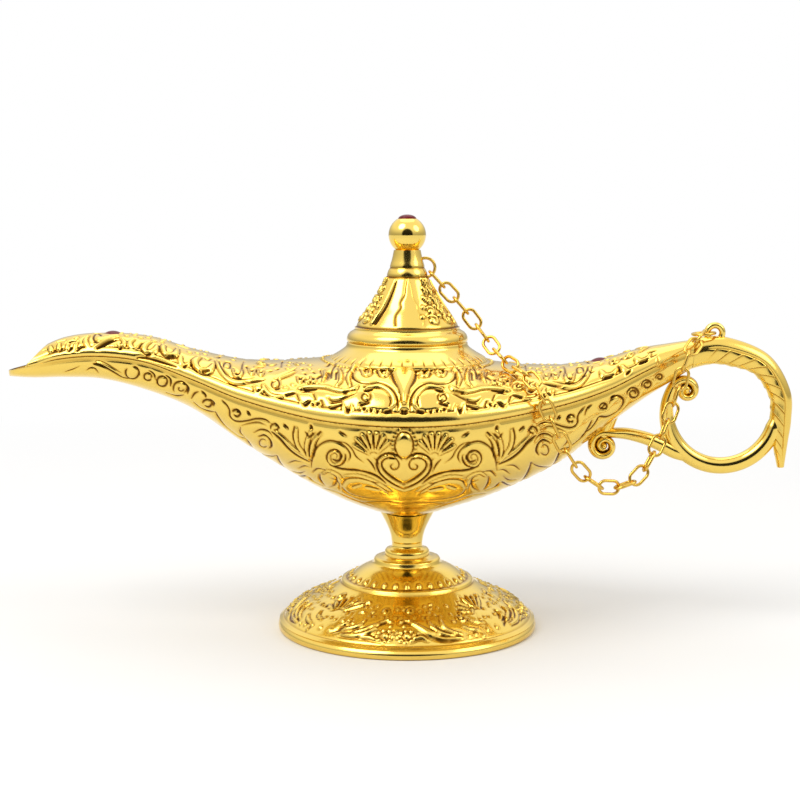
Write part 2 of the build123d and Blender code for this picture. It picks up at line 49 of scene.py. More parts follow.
# place along the reach, half width, climb of the parting line, crown and keel, as shares of the sizes above
spoutShares = [
    (1.000, 0.190, 0.720, 0.160, 0.060), (0.933, 0.200, 0.827, 0.235, 0.130),
    (0.857, 0.220, 0.950, 0.322, 0.192),
    (0.762, 0.250, 1.000, 0.344, 0.236), (0.648, 0.300, 0.920, 0.362, 0.304),
    (0.533, 0.390, 0.653, 0.387, 0.337),
    (0.400, 0.565, 0.333, 0.515, 0.504), (0.229, 0.825, 0.093, 0.761, 0.757),
    (0.114, 0.957, 0.023, 0.942, 0.915),
]
middleShares = (0.0, 1.0, 0.0, 1.0, 1.0)
tailShares = [
    (0.160, 0.957, 0.023, 0.935, 0.919), (0.320, 0.800, 0.093, 0.699, 0.815),
    (0.533, 0.530, 0.240, 0.521, 0.623),
    (0.693, 0.355, 0.453, 0.429, 0.406), (0.827, 0.245, 0.747, 0.331, 0.297),
    (0.920, 0.165, 0.940, 0.227, 0.243),
    (1.000, 0.106, 1.080, 0.153, 0.185),
]
rows = [(-body["spoutReach"] * s[0], s) for s in spoutShares] + [(0.0, middleShares)]
rows += [(body["tailReach"] * s[0], s) for s in tailShares]
stations = np.array([
    (x, body["halfWidth"] * s[1], body["rimHeight"] + body["rimRise"] * s[2], body["crown"] * s[3],
     body["depth"] * s[4])
    for x, s in rows
])


def blend(t, start, leave, end, arrive):
    # a smooth curve from start to end, with the slopes at which it leaves and arrives
    return (start * (2 * t**3 - 3 * t**2 + 1) + leave * (t**3 - 2 * t**2 + t)
            + end * (3 * t**2 - 2 * t**3) + arrive * (t**3 - t**2))


def through(p, i, t):
    # the smooth run through the points p, at t of the way from point i to the next
    a, b, c, d = p[max(i - 1, 0)], p[i], p[i + 1], p[min(i + 2, len(p) - 1)]
    return blend(t, b, (c - a) / 2, c, (d - b) / 2)


def between(x, column):
    # one column of the stations at any x, on the same smooth curve as the castings
    x = np.asarray(x, float)
    last = len(stations) - 1
    i = np.clip(np.searchsorted(stations[:, 0], x, side="right") - 1, 0, last - 1)
    before, here, there, after = (stations[np.clip(i + k, 0, last)] for k in (-1, 0, 1, 2))
    run = there[..., 0] - here[..., 0]
    t = (x - here[..., 0]) / run
    leave = (there[..., column] - before[..., column]) / (there[..., 0] - before[..., 0]) * run
    arrive = (after[..., column] - here[..., column]) / (after[..., 0] - here[..., 0]) * run
    return blend(t, here[..., column], leave, there[..., column], arrive)


def halfWidthAt(x):
    # the spout's lip is round in plan
    lipX = body["lipRadius"] - body["spoutReach"]
    inside = np.clip(body["lipRadius"] ** 2 - np.minimum(x - lipX, 0) ** 2, 0, None)
    return np.minimum(between(x, 1), np.where(x < lipX, np.sqrt(inside), between(x, 1)))


def shellPoint(x, turn, upper, inward=0.0):
    # a point of the shell at x, turn from 0 at the parting line to half pi at the ridge or keel
    tall = between(x, 3 if upper else 4)
    wide = np.maximum(halfWidthAt(x) - inward, 0.1 * halfWidthAt(x))
    tall = np.maximum(tall - inward, 0.35 * tall)
    y = wide * np.cos(turn) ** (2 / body["power"])
    z = tall * np.sin(turn) ** (2 / body["power"])
    return y, between(x, 2) + (z if upper else -z)


def arcLength(x, y, upper):
    # the way over the shell from the parting line to the point that is y off the middle plane
    turns = np.linspace(0, math.pi / 2, 300)
    ys, zs = shellPoint(np.full_like(turns, x), turns, upper)
    arc = np.concatenate([[0], np.cumsum(np.hypot(np.diff(ys), np.diff(zs)))])
    return float(np.interp(-abs(y), -ys, arc))


print("tools for the relief")
# in mm, degrees and pixels; near to end is the stretch of each line of sight that is searched
camera = {"lens": 72.0, "sensor": 36.0, "frame": 800, "place": (-1.9, -420.0, 114.0), "pitch": 7.2,
          "near": 370.0, "end": 460.0, "steps": 901}
mirrorX = -0.9  # the ornament's own middle, a little off the neck's


def sightLines(pixels):
    # places every tenth of a mm along the lines of sight through pixels of the photograph
    px, py = np.array(pixels, float).T
    level, lean = math.cos(math.radians(camera["pitch"])), math.sin(math.radians(camera["pitch"]))
    middle, focal = camera["frame"] / 2, camera["frame"] * camera["lens"] / camera["sensor"]
    across, up = (px - middle) / focal, (middle - py) / focal
    ray = np.stack([across, level + up * lean, up * level - lean], -1)
    ray /= np.linalg.norm(ray, axis=1, keepdims=True)
    far = np.linspace(camera["near"], camera["end"], camera["steps"])
    return np.array(camera["place"]) + ray[:, None, :] * far[None, :, None]


def onBody(pixels):
    # the places on the body's front under pixels of the photograph, as x and the way from the parting line
    place = sightLines(pixels)
    x = np.clip(place[..., 0], stations[0, 0] + 0.1, stations[-1, 0] - 0.1)
    above = place[..., 2] - between(x, 2)
    tall = np.where(above > 0, between(x, 3), between(x, 4))
    reach = (np.abs(place[..., 1]) / between(x, 1)) ** body["power"] + (np.abs(above) / tall) ** body["power"]
    inside = reach <= 1
    first = np.where(inside.any(1), inside.argmax(1), reach.argmin(1))
    spots = []
    for i, k in enumerate(first):
        share = min(abs(above[i, k]) / tall[i, k], 1.0)
        end = math.asin(share ** (body["power"] / 2))
        turns = np.linspace(0, end, 200)
        ys, zs = shellPoint(np.full(200, x[i, k]), turns, above[i, k] > 0)
        spots.append((float(x[i, k]), float(np.hypot(np.diff(ys), np.diff(zs)).sum())))
    return spots


def onTurned(pixels, profile):
    # the same on a turned part, from its outer profile as (radius, height); returns x, y, z
    place = sightLines(pixels)
    line = np.array(sorted(profile, key=lambda p: p[1]))
    gap = np.hypot(place[..., 0], place[..., 1]) - np.interp(place[..., 2], line[:, 1], line[:, 0])
    first = np.where((gap <= 0).any(1), (gap <= 0).argmax(1), gap.argmin(1))
    return place[np.arange(len(first)), first]


def reliefMap(left, low, wide, tall, cell):
    # an empty map for raised forms and for cuts, in mm
    shape = (int(tall / cell) + 2, int(wide / cell) + 2)
    return {"left": left, "low": low, "cell": cell, "up": np.zeros(shape), "down": np.zeros(shape)}


def mapAxes(m):
    # the places of the map's columns and of its rows
    tall, wide = m["up"].shape
    return np.arange(wide) * m["cell"] + m["left"], (np.arange(tall) * m["cell"] + m["low"])[:, None]


def press(m, x, s, radius, height, layer="up"):
    # one round bump, or one round dent in the layer below
    cell = m["cell"]
    cx, cy, r = (x - m["left"]) / cell, (s - m["low"]) / cell, max(radius / cell, 0.7)
    y0, y1 = max(int(cy - r), 0), min(int(cy + r) + 2, m[layer].shape[0])
    x0, x1 = max(int(cx - r), 0), min(int(cx + r) + 2, m[layer].shape[1])
    if y0 >= y1 or x0 >= x1:
        return
    yy, xx = np.ogrid[y0:y1, x0:x1]
    dome = height * np.sqrt(np.clip(1 - ((xx - cx) ** 2 + (yy - cy) ** 2) / r**2, 0, 1))
    part = m[layer][y0:y1, x0:x1]
    np.maximum(part, dome, out=part)


def stroke(m, points, radii, height, layer="up"):
    # a rounded rib or cut through the points, swelling and thinning with the radii
    p = np.array([(*point, radius) for point, radius in zip(points, radii)], float)
    for i, (start, end) in enumerate(zip(p, p[1:])):
        steps = max(int(math.dist(start[:2], end[:2]) / (0.35 * max(min(start[2], end[2]), m["cell"]))), 2)
        for t in np.linspace(0, 1, min(steps, 80)):
            x, s, radius = through(p, i, t)
            press(m, x, s, max(radius, 0.05), height * min(1, 0.35 + radius / 0.5), layer)


def rib(m, size, height, run):
    # a rib that thins towards its ends, or a cut where size is less than 0
    swell = [0.6] + [1.0] * (len(run) - 2) + [0.45] if len(run) > 2 else [1.0, 0.85]
    layer, high = ("down", 1.0) if size < 0 else ("up", height)
    stroke(m, run, [abs(size) * w for w in swell], high, layer)


def bothSides(spots, both=True):
    # the same run on the ornament's left, and its twin on the right
    sides = (False, True) if both else (False,)
    return [[(2 * mirrorX - x, s) if flip else (x, s) for x, s in spots] for flip in sides]


def draw(m, height, both, lines):
    # each line is its half width in mm, less than 0 for a cut, and the photograph's pixels on its way
    for size, *pixels in lines:
        for run in bothSides(onBody(pixels), both):
            rib(m, size, height, run)


def coil(px, py, radius, begin, turns, end=0.3):
    # pixels of a spiral that winds inwards
    out = []
    for t in np.linspace(0, 1, int(10 * abs(turns)) + 3):
        a, r = math.radians(begin + 360 * turns * t), radius * (1 - (1 - end) * t)
        out.append((px + r * math.cos(a), py + r * math.sin(a)))
    return out


def spoke(root, tip, shares):
    # pixels at shares of the way from a fan's root to the tip of a lobe
    return [(root[0] + (tip[0] - root[0]) * t, root[1] + (tip[1] - root[1]) * t) for t in shares]


def placing(x, s, size, turn, flip=1):
    # turns a motif's own coordinates, one unit across, into places on the map
    c, n = math.cos(math.radians(turn)), math.sin(math.radians(turn))
    put = lambda u, v: (x + size * (flip * u * c - v * n), s + size * (flip * u * n + v * c))
    return put, size


def scroll(m, place, height, turns, begin, thick, eye):
    # a curl that winds inwards to a bead
    put, size = place
    ring = []
    for t in np.linspace(0, 1, 22):
        r, a = 1 - 0.72 * t, math.radians(begin) + 2 * math.pi * turns * t
        ring.append((r * math.cos(a), r * math.sin(a), thick * (1 - 0.35 * t)))
    stroke(m, [put(u, v) for u, v, _ in ring], [w * size for _, _, w in ring], height)
    press(m, *put(0, 0), eye * size, height * 1.25)


def leaf(m, place, height, bend, wide):
    # a drop-shaped leaf from the origin to one unit up, its tip bent aside, with a vein
    put, size = place
    line = [(bend * t * t, t) for t in (0, 0.2, 0.45, 0.7, 0.9, 1.02)]
    swell = [0.35, 0.8, 1.0, 0.72, 0.32, 0.08]
    stroke(m, [put(*p) for p in line], [wide * size * w for w in swell], height)
    stroke(m, [put(*p) for p in line[:5]], [0.05 * size * w + 0.1 for w in swell[:5]], 0.7, "down")


def band(m, low, high, height):
    # a smooth rounded band along the map, between two edges
    across = (mapAxes(m)[1] - (low + high) / 2) / ((high - low) / 2)
    np.maximum(m["up"], height * np.sqrt(np.clip(1 - across**2, 0, 1)), out=m["up"])


def isFree(m, x, s, reach):
    # whether nothing is raised or cut within reach of a place
    c, r, n = int((x - m["left"]) / m["cell"]), int((s - m["low"]) / m["cell"]), int(reach / m["cell"])
    near = (slice(max(r - n, 0), r + n + 1), slice(max(c - n, 0), c + n + 1))
    return max(m["up"][near].max(), m["down"][near].max()) < 0.08


def groove(m, middle, width, depth):
    # a cut line along the map
    np.maximum(m["down"], depth * np.exp(-(((mapAxes(m)[1] - middle) / (width / 2)) ** 2)), out=m["down"])


def blur(h, cells):
    # the mean over a square, with sums along one axis after the other
    for axis in (0, 1):
        room = [(cells + 1, cells) if a == axis else (0, 0) for a in (0, 1)]
        total = np.cumsum(np.pad(h, room, mode="edge"), axis)
        far = np.take(total, range(2 * cells + 1, total.shape[axis]), axis)
        near = np.take(total, range(0, total.shape[axis] - 2 * cells - 1), axis)
        h = (far - near) / (2 * cells + 1)
    return h


# raised, swell and hollow in mm, the ring round a raised form in cells of the map, and how dark the painted
# shade is on high places, in cuts and in hollows
carving = {"raised": 0.1, "ring": 2, "ringGain": 2.4, "ringDepth": 0.7, "swell": 0.45, "hollow": 0.6,
           "highTone": 0.08, "cutPaintedShade": 0.66, "hollowPaintedShade": 2.3}


def finishMap(m, depth, pillow, shown=1.0):
    # narrow cuts, also round raised forms, and metal that swells between them; the darkness in the cuts and
    # hollows is painted shade
    form = np.clip(m["up"] / carving["raised"], 0, 1)
    beside = (1 - form) * np.clip(blur(form, carving["ring"]) * carving["ringGain"], 0, 1)
    cut = np.maximum(m["down"], carving["ringDepth"] * beside)
    wide = max(int(carving["swell"] / m["cell"]), 1)
    h = m["up"] - depth * cut - pillow * blur(blur(cut, wide), wide)
    m["height"] = blur(h, 1) * shown
    # painted shade: darker in the cuts and where the surface lies hollow
    hollow = np.clip(blur(m["height"], int(carving["hollow"] / m["cell"])) - m["height"], 0, 1)
    dark = carving["cutPaintedShade"] * blur(cut, 1) * shown + hollow * carving["hollowPaintedShade"]
    m["paintedShade"] = np.clip(carving["highTone"] + dark, 0, 1)


def readMap(m, x, s, what="height"):
    # the map between its cells
    fx = np.clip((x - m["left"]) / m["cell"], 0, m[what].shape[1] - 1.001)
    fy = np.clip((s - m["low"]) / m["cell"], 0, m[what].shape[0] - 1.001)
    ix, iy = fx.astype(int), fy.astype(int)
    tx, ty = fx - ix, fy - iy
    h = m[what]
    return ((h[iy, ix] * (1 - tx) + h[iy, ix + 1] * tx) * (1 - ty)
            + (h[iy + 1, ix] * (1 - tx) + h[iy + 1, ix + 1] * tx) * ty)


print("tools for the meshes")
joined = {"gap": 0.004 * mm, "sharp": math.radians(62)}  # corners this near are one; sharper edges stay sharp


def finishMesh(name, bm, rider, nodes, material):
    mesh = bpy.data.meshes.new(name)
    bmesh.ops.remove_doubles(bm, verts=bm.verts[:], dist=joined["gap"])
    rim = [e for e in bm.edges if e.is_boundary]
    if rim:
        bmesh.ops.holes_fill(bm, edges=rim, sides=0)
    bmesh.ops.recalc_face_normals(bm, faces=bm.faces[:])
    for edge in bm.edges:
        edge.smooth = edge.calc_face_angle(0.0) < joined["sharp"]
    for face in bm.faces:
        face.smooth = True
    bm.to_mesh(mesh)
    bm.free()
    piece = bpy.data.objects.new(name, mesh)
    bpy.context.scene.collection.objects.link(piece)
    mesh.materials.append(material)
    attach(piece, rider)
    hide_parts(*nodes)


def sheet(points, paintedShade):
    # a grid whose corners are moved to the given places, row by row, with its painted shade
    tall, wide = points.shape[:2]
    bm = bmesh.new()
    bmesh.ops.create_grid(bm, x_segments=wide - 1, y_segments=tall - 1, size=1)
    shade = bm.verts.layers.float.new("paintedShade")
    co = np.array([v.co[:2] for v in bm.verts])
    column = np.rint((co[:, 0] + 1) / 2 * (wide - 1)).astype(int)
    row = np.rint((co[:, 1] + 1) / 2 * (tall - 1)).astype(int)
    places = points[row, column] * mm
    tints = paintedShade[row, column]
    for v, place, tint in zip(bm.verts, places, tints):
        v.co = place
        v[shade] = tint
    return bm


def spun(profile, steps):
    # turned about Z from (radius, height) points; a closed profile gives a closed piece
    bm = bmesh.new()
    verts = [bm.verts.new((r * mm, 0, z * mm)) for r, z in profile]
    edges = [bm.edges.new(pair) for pair in zip(verts, verts[1:])]
    bmesh.ops.spin(bm, geom=verts + edges, cent=(0, 0, 0), axis=(0, 0, 1), angle=2 * math.pi, steps=steps,
                   use_merge=True)
    bmesh.ops.remove_doubles(bm, verts=bm.verts[:], dist=joined["gap"])
    bmesh.ops.recalc_face_normals(bm, faces=bm.faces[:])
    return bm


def carve(bm, heightAt):
    # moves every corner along its normal; heightAt gives height and painted shade from x, y, z in mm
    bm.normal_update()
    shade = bm.verts.layers.float.new("paintedShade")
    co = np.array([v.co[:] for v in bm.verts]) / mm
    height, tint = heightAt(co[:, 0], co[:, 1], co[:, 2])
    for v, h, t in zip(bm.verts, height, tint):
        v.co += v.normal * (h * mm)
        v[shade] = t


def finely(profile, step):
    # points no further apart than step along a run of straight lines
    out = [profile[0]]
    for (r0, z0), (r1, z1) in zip(profile, profile[1:]):
        n = max(int(math.ceil(math.hypot(r1 - r0, z1 - z0) / step)), 1)
        out += [(r0 + (r1 - r0) * k / n, z0 + (z1 - z0) * k / n) for k in range(1, n + 1)]
    return out


def curved(points, count):
    # a smooth run through a few profile points
    p = np.array(points, float)
    out = [tuple(through(p, i, t)) for i in range(len(p) - 1)
           for t in np.linspace(0, 1, count, endpoint=False)]
    return out + [tuple(p[-1])]


print("materials")


def linear(code):
    # sRGB hex to the linear colour that the shader takes
    parts = [int(code[i:i + 2], 16) / 255 for i in (1, 3, 5)]
    return [p / 12.92 if p <= 0.04045 else ((p + 0.055) / 1.055) ** 2.4 for p in parts] + [1.0]


def add(tree, kind, settings=None, values=None, links=None):
    # one node with its settings, socket values and incoming links
    node = tree.nodes.new(kind)
    for key, value in (settings or {}).items():
        setattr(node, key, value)
    for key, value in (values or {}).items():
        node.inputs[key].default_value = value
    for key, source in (links or {}).items():
        tree.links.new(source, node.inputs[key])
    return node


def newMaterial(name):
    made = bpy.data.materials.new(name)
    made.use_nodes = True
    made.node_tree.nodes.clear()
    return made, made.node_tree


def goldMaterial(name, look):
    made, tree = newMaterial(name)
    coords = add(tree, "ShaderNodeTexCoord")
    paintedShade = add(tree, "ShaderNodeAttribute", {"attribute_name": "paintedShade"})
    wipe = add(tree, "ShaderNodeTexNoise", values={"Scale": look["wipeScale"], "Detail": 3.0},
               links={"Vector": coords.outputs["Object"]})
    uneven = add(tree, "ShaderNodeMath", {"operation": "MULTIPLY_ADD"},
                 {1: look["uneven"], 2: -look["uneven"] / 2}, {0: wipe.outputs["Fac"]})
    shade = add(tree, "ShaderNodeMath", {"operation": "ADD", "use_clamp": True},
                links={0: paintedShade.outputs["Fac"], 1: uneven.outputs[0]})
    # painted shade turns the plating's yellow to brown and near black in cuts and hollows, and makes them
    # duller
    ramp = add(tree, "ShaderNodeValToRGB", links={"Fac": shade.outputs[0]})
    stops = ramp.color_ramp.elements
    stops[0].position, stops[0].color = 0.0, linear(look["high"])
    stops[1].position, stops[1].color = 1.0, linear(look["pit"])
    for place in ("field", "recess"):
        stops.new(look[place + "At"]).color = linear(look[place])
    gloss = add(tree, "ShaderNodeMapRange", values={"To Min": look["polish"], "To Max": look["dull"]},
                links={"Value": shade.outputs[0]})
    grain = add(tree, "ShaderNodeTexNoise", values={"Scale": look["grainScale"], "Detail": 2.0},
                links={"Vector": coords.outputs["Object"]})
    bump = add(tree, "ShaderNodeBump",
               values={"Strength": look["grainStrength"], "Distance": look["grainDepth"] * mm},
               links={"Height": grain.outputs["Fac"]})
    shader = add(tree, "ShaderNodeBsdfPrincipled", values={"Metallic": 1.0},
                 links={"Base Color": ramp.outputs["Color"], "Roughness": gloss.outputs[0],
                        "Normal": bump.outputs["Normal"]})
    add(tree, "ShaderNodeOutputMaterial", links={"Surface": shader.outputs[0]})
    return made


# cast zinc with a gold plating over polished nickel: clear yellow on high places, painted shade in brown and
# near black in low ones
castLook = {
    "high": "#F3D36C", "field": "#E6BE56", "recess": "#8C5E16", "pit": "#33200A", "polish": 0.13, "dull": 0.4,
    "uneven": 0.10, "wipeScale": 1 / (9 * mm), "grainScale": 1 / (0.35 * mm), "grainStrength": 0.25,
    "grainDepth": 0.02, "fieldAt": 0.32, "recessAt": 0.62,
}
goldCast = goldMaterial("gold_plated_casting", castLook)
# turned and buffed parts: the same plating, a clean mirror with faint buffing waves
buffedLook = dict(castLook, polish=0.1, dull=0.4, uneven=0.08, grainScale=1 / (1.6 * mm), grainStrength=0.12)
goldBuffed = goldMaterial("gold_plated_buffed", buffedLook)
# drawn brass wire, plated after it was bent: bright, with fine drawing marks
wireLook = dict(castLook, high="#DDB553", field="#C99C40", polish=0.2, grainScale=1 / (0.2 * mm),
                grainStrength=0.35)
goldWire = goldMaterial("gold_plated_wire", wireLook)

steelLook = {"colour": "#B9BCBE", "polish": 0.3, "dull": 0.5, "spangle": 1 / (1.5 * mm)}


def steelMaterial():
    # zinc plating on steel: pale grey with soft cloudy spangles
    made, tree = newMaterial("zinc_plated_steel")
    coords = add(tree, "ShaderNodeTexCoord")
    cloud = add(tree, "ShaderNodeTexNoise", values={"Scale": steelLook["spangle"]},
                links={"Vector": coords.outputs["Object"]})
    gloss = add(tree, "ShaderNodeMapRange",
                values={"To Min": steelLook["polish"], "To Max": steelLook["dull"]},
                links={"Value": cloud.outputs["Fac"]})
    shader = add(tree, "ShaderNodeBsdfPrincipled",
                 values={"Metallic": 1.0, "Base Color": linear(steelLook["colour"])},
                 links={"Roughness": gloss.outputs[0]})
    add(tree, "ShaderNodeOutputMaterial", links={"Surface": shader.outputs[0]})
    return made


garnetLook = {"deep": "#420209", "light": "#820F1C", "cloud": 1 / (2.2 * mm), "polish": 0.12, "index": 1.38,
              "gleam": 0.25}


def garnetMaterial():
    # pressed and polished glass: deep red, with a hard clear shine
    made, tree = newMaterial("garnet_glass")
    coords = add(tree, "ShaderNodeTexCoord")
    cloud = add(tree, "ShaderNodeTexNoise", values={"Scale": garnetLook["cloud"]},
                links={"Vector": coords.outputs["Object"]})
    ramp = add(tree, "ShaderNodeValToRGB", links={"Fac": cloud.outputs["Fac"]})
    ramp.color_ramp.elements[0].color = linear(garnetLook["deep"])
    ramp.color_ramp.elements[1].color = linear(garnetLook["light"])
    shader = add(tree, "ShaderNodeBsdfPrincipled",
                 values={"Roughness": garnetLook["polish"], "IOR": garnetLook["index"],
                         "Specular IOR Level": garnetLook["gleam"]},
                 links={"Base Color": ramp.outputs["Color"]})
    add(tree, "ShaderNodeOutputMaterial", links={"Surface": shader.outputs[0]})
    return made


zincSteel = steelMaterial()
garnetGlass = garnetMaterial()

print("relief of the lower shell")
mapSpan = {"left": -106, "wide": 182}  # from before the spout's lip to past the tail
lower = {"cell": 0.14, "tall": 50.0, "height": 0.42, "depth": 0.36, "pillow": 0.38, "lipLow": 0.1,
         "lipTop": 1.0, "lipHeight": 0.04, "medallion": (-0.9, 4.5, 2.1, 3.3), "medallionHeight": 0.75,
         "beads": 15, "beadGap": 0.75,
         "beadRadius": 0.36, "plainEnd": -98, "fade": 6}
lowerMap = reliefMap(mapSpan["left"], 0, mapSpan["wide"], lower["tall"], lower["cell"])
h = lower["height"]
columns, sides = mapAxes(lowerMap)
x, s, wide, tall = lower["medallion"]
oval = 1 - ((columns - x) / wide) ** 2 - ((sides - s) / tall) ** 2
lowerMap["up"] = np.maximum(lowerMap["up"], lower["medallionHeight"] * np.sqrt(np.clip(oval, 0, 1)))
for k in range(lower["beads"]):
    a, gap = math.radians(200 - 220 * k / (lower["beads"] - 1)), lower["beadGap"]
    press(lowerMap, x + (wide + gap) * math.cos(a), s - (tall + gap) * math.sin(a), lower["beadRadius"], h)
# palmettes beside the oval, their lobes from one root to these tips
palmetteTips = ((352.8, 444.5), (355.2, 437.5), (361.5, 433.6), (369.2, 432.0), (377.0, 432.2),
                (384.2, 435.0),
                (389.5, 440.5))
palmetteRoot = (374.0, 457.5)
for tip in palmetteTips:
    for run in bothSides(onBody(spoke(palmetteRoot, tip, (0.24, 0.5, 0.78, 0.93)))):
        stroke(lowerMap, run, (0.2, 0.32, 0.56, 0.52), h * 1.2)
        stroke(lowerMap, run[1:], (0.1, 0.16, 0.2), 0.6, "down")
draw(lowerMap, h, True, [
    # heart with its inner volutes
    (-0.30, (404.3, 490), (393, 485), (382, 477), (376.5, 467), (378.5, 458.5), (387, 454), (397, 456),
     (402.5, 461)),
    (-0.24, (404.3, 484), (395, 479.5), (386, 472.5), (381.6, 466), (383.4, 460.5), (389.5, 458),
     (396, 459.5), (399, 464.5), (397.3, 469), (392.8, 470), (390.5, 466.5), (394, 463.5)),
    (0.42, (404.3, 487), (394, 482), (384, 474.5), (379.2, 466.5), (381, 459.5), (388.5, 456),
     (396.5, 457.5)),
    # sprays between the heart and the volutes
    (-0.42, (329.5, 465.5), (337, 468.7), (346.5, 470.4), (356, 471), (361, 472)),
    (-0.44, (361, 471.6), (369, 474), (377, 477.4), (386, 484)),
    (0.5, (345, 476), (357, 475.5), (369, 479), (382, 486), (392, 492)),
    (-0.24, (342, 486), (346, 480), (358, 479), (370, 482), (380, 487), (391, 495)),
    (-0.24, (342, 487), (347, 493), (361, 497.5), (386, 499.5)), (-0.32, (366, 480.4), (378, 483)),
    (-0.32, (366, 487), (378, 489.5)), (-0.24, (352, 487), (360, 484.5)),
    (-0.24, (362, 502), (384, 502), (404, 504)), (-0.26, (374, 458), (378, 464), (380, 471)),
    (-0.3, (367, 459), (372, 465), (376, 473)),
    # volutes
    (-0.27, *coil(334.8, 457, 11, -15, 1.45)), (0.4, *coil(334.8, 457, 9, -10, 1.2, 0.4)),
    (-0.26, (311, 468), (312.5, 456), (318, 446.5), (328, 441), (339, 443), (347, 449.5), (350, 456.5),
     (347, 463)), (-0.24, (338, 441.5), (346, 444), (352, 450), (356, 457), (364, 463)),
    (-0.3, (339, 431), (343, 434), (347, 436)),
    # lily sprays, with the long cut beside them, dark with painted shade
    (0.5, (296.5, 428), (295.5, 436), (297.5, 445), (303, 453), (309, 461)),
    (0.45, (311, 431), (308, 439), (306.5, 449), (309, 459)),
    (0.45, (321, 433), (314.5, 441), (311.5, 450), (311, 460)), (-0.32, (305, 432), (309, 436.5), (316, 432)),
    (-0.42, (310.5, 426), (311.5, 428.5)), (-0.34, (317.5, 435), (320.5, 432)),
    (-0.24, (294, 426), (292.6, 435), (294.5, 444), (300, 453)),
    (-0.24, (318.5, 438), (315, 446), (314.3, 458)),
    (-0.46, (271.5, 432.5), (279.5, 440), (288, 449.5), (297, 456.5), (309, 462.5)),
    (0.42, (275, 431), (283, 438), (292, 446.5), (302, 454.5)),
    (-0.26, *coil(274.5, 428, 4.6, 160, 0.9, 0.5)), (-0.36, (275, 424), (278.5, 428)),
    (-0.36, (284, 425), (287.5, 428.5)), (-0.26, (253.5, 433), (260, 430), (267.5, 431.5), (273, 438)),
    (-0.34, (258, 437), (264, 435.8), (269, 440), (271, 446), (268.5, 449)),
    (-0.22, *coil(263, 443, 5, 40, 0.8, 0.6)),
    (-0.28, (221.5, 400), (226, 405), (229, 411), (229.5, 417), (235, 421.5), (245, 421.5), (256, 419),
     (265, 420), (271, 424)), (-0.3, *coil(236, 414, 4.6, 200, 0.9, 0.5)), (-0.34, (237, 411.5), (240, 414)),
    (-0.36, (247.5, 412), (249.5, 415)), (-0.22, (241, 426), (248, 424), (258, 422.5), (267, 426)),
    # lobed border above the keel
    (-0.34, (215, 412), (218, 418), (224, 425.5), (232, 432), (240, 437.5), (247, 441), (255, 451),
     (264, 455), (276.5, 456)),
    (-0.34, (276.5, 455.5), (280, 463.5), (287, 470.5), (296, 475.5), (306, 476.5), (313, 481.5), (323, 486)),
    (-0.24, (240.5, 427), (240, 433), (246, 438.5)), (-0.24, (288, 463.5), (294, 461.4), (303, 462.5)),
    (-0.24, (298, 468.6), (304, 466.4), (310, 467.6)), (-0.26, (292, 471), (299, 473.4), (305, 471)),
    (-0.26, (312, 473), (317, 469.2), (325, 470.2)), (-0.28, (319.5, 474), (320, 480), (325, 486)),
    (-0.24, (330, 474), (336, 478), (335, 485), (329, 487.5)),
    (-0.24, (323, 488), (336, 492), (352, 499), (372, 506)), (-0.22, (330, 478), (338, 483), (340, 490)),
    (0.4, (322, 474), (329, 471), (338, 475), (343, 481)),
])
# keel and underside: broad plain lobes wherever the side is deep enough
keelRow = {"first": -52, "pitch": 4.0, "count": 26, "least": 14}
for k in range(keelRow["count"]):
    x = keelRow["first"] + keelRow["pitch"] * k
    arc = arcLength(x, 0, False)
    if arc > keelRow["least"]:
        stroke(lowerMap, [(x - 1.9, arc * 0.99), (x - 1.3, arc * 0.82), (x, arc * 0.77),
                          (x + 1.3, arc * 0.82), (x + 1.9, arc * 0.99)], [0.24] * 5, 0.8, "down")
draw(lowerMap, h, False, [
    # scrolls along the spout, each with a comma over it
    (-0.3, *coil(207, 404.5, 5, 190, 0.9, 0.5)), (-0.42, (209.5, 400), (213, 403), (212.4, 406.5)),
    (-0.28, (191, 399), (194, 394), (199, 391.3)), (-0.42, (201.5, 391.5), (204.5, 395), (205, 398)),
    (-0.34, (193.5, 402.5), (199.5, 408), (206, 411), (214.5, 412.3)),
    (-0.28, *coil(180, 388.5, 7.2, 150, 0.75, 0.85)), (-0.42, (183.5, 383), (187.5, 388), (187, 394.5)),
    (-0.32, (166, 393), (175, 396.2), (184, 395)), (-0.24, *coil(180, 389, 3.6, 0, 0.7)),
    (-0.3, *coil(161.8, 381.8, 5.4, 30, 1.1, 0.9)), (-0.4, (165.5, 375.5), (170, 380), (170, 387)),
    (-0.28, *coil(147.5, 377.2, 4.0, 30, 1.0, 0.9)), (-0.38, (149, 371), (153.5, 375), (154.8, 380.5)),
    (-0.28, *coil(131.8, 373, 6.8, -80, 0.85, 0.95)), (-0.3, (133.5, 366.5), (138, 370.5), (139.5, 376)),
    (-0.34, (93, 363.8), (100, 365.5), (107, 369), (115, 374), (123, 378.3), (131, 379.6)),
    (-0.26, (86.5, 370.6), (90.5, 368.4), (95, 369.3), (99, 373.5)),
    (-0.22, (64.5, 372.2), (72, 370), (80, 366)), (0.36, (97, 362.3), (105, 364.8), (113, 369.5), (121, 374)),
    # and towards the handle
    (-0.3, *coil(604.5, 407, 4.2, 150, 1.0, 0.5)), (-0.36, (602, 409), (605.5, 405)),
    (-0.3, (609.5, 404.5), (612.5, 399), (618, 396), (623.5, 399.5), (623, 405.5), (617.5, 412), (608, 417),
     (600, 417.2), (597, 421.5), (590.5, 430), (582, 436)), (-0.36, (612, 397.5), (614.5, 396)),
    (-0.3, *coil(634, 394, 6.6, 170, 1.6, 0.3)), (-0.28, *coil(647.5, 385, 5.4, 150, 1.5, 0.3)),
    (-0.26, *coil(660, 377.5, 3.8, 150, 1.3, 0.3)), (-0.28, (585, 415.5), (588, 408), (592.5, 404)),
])
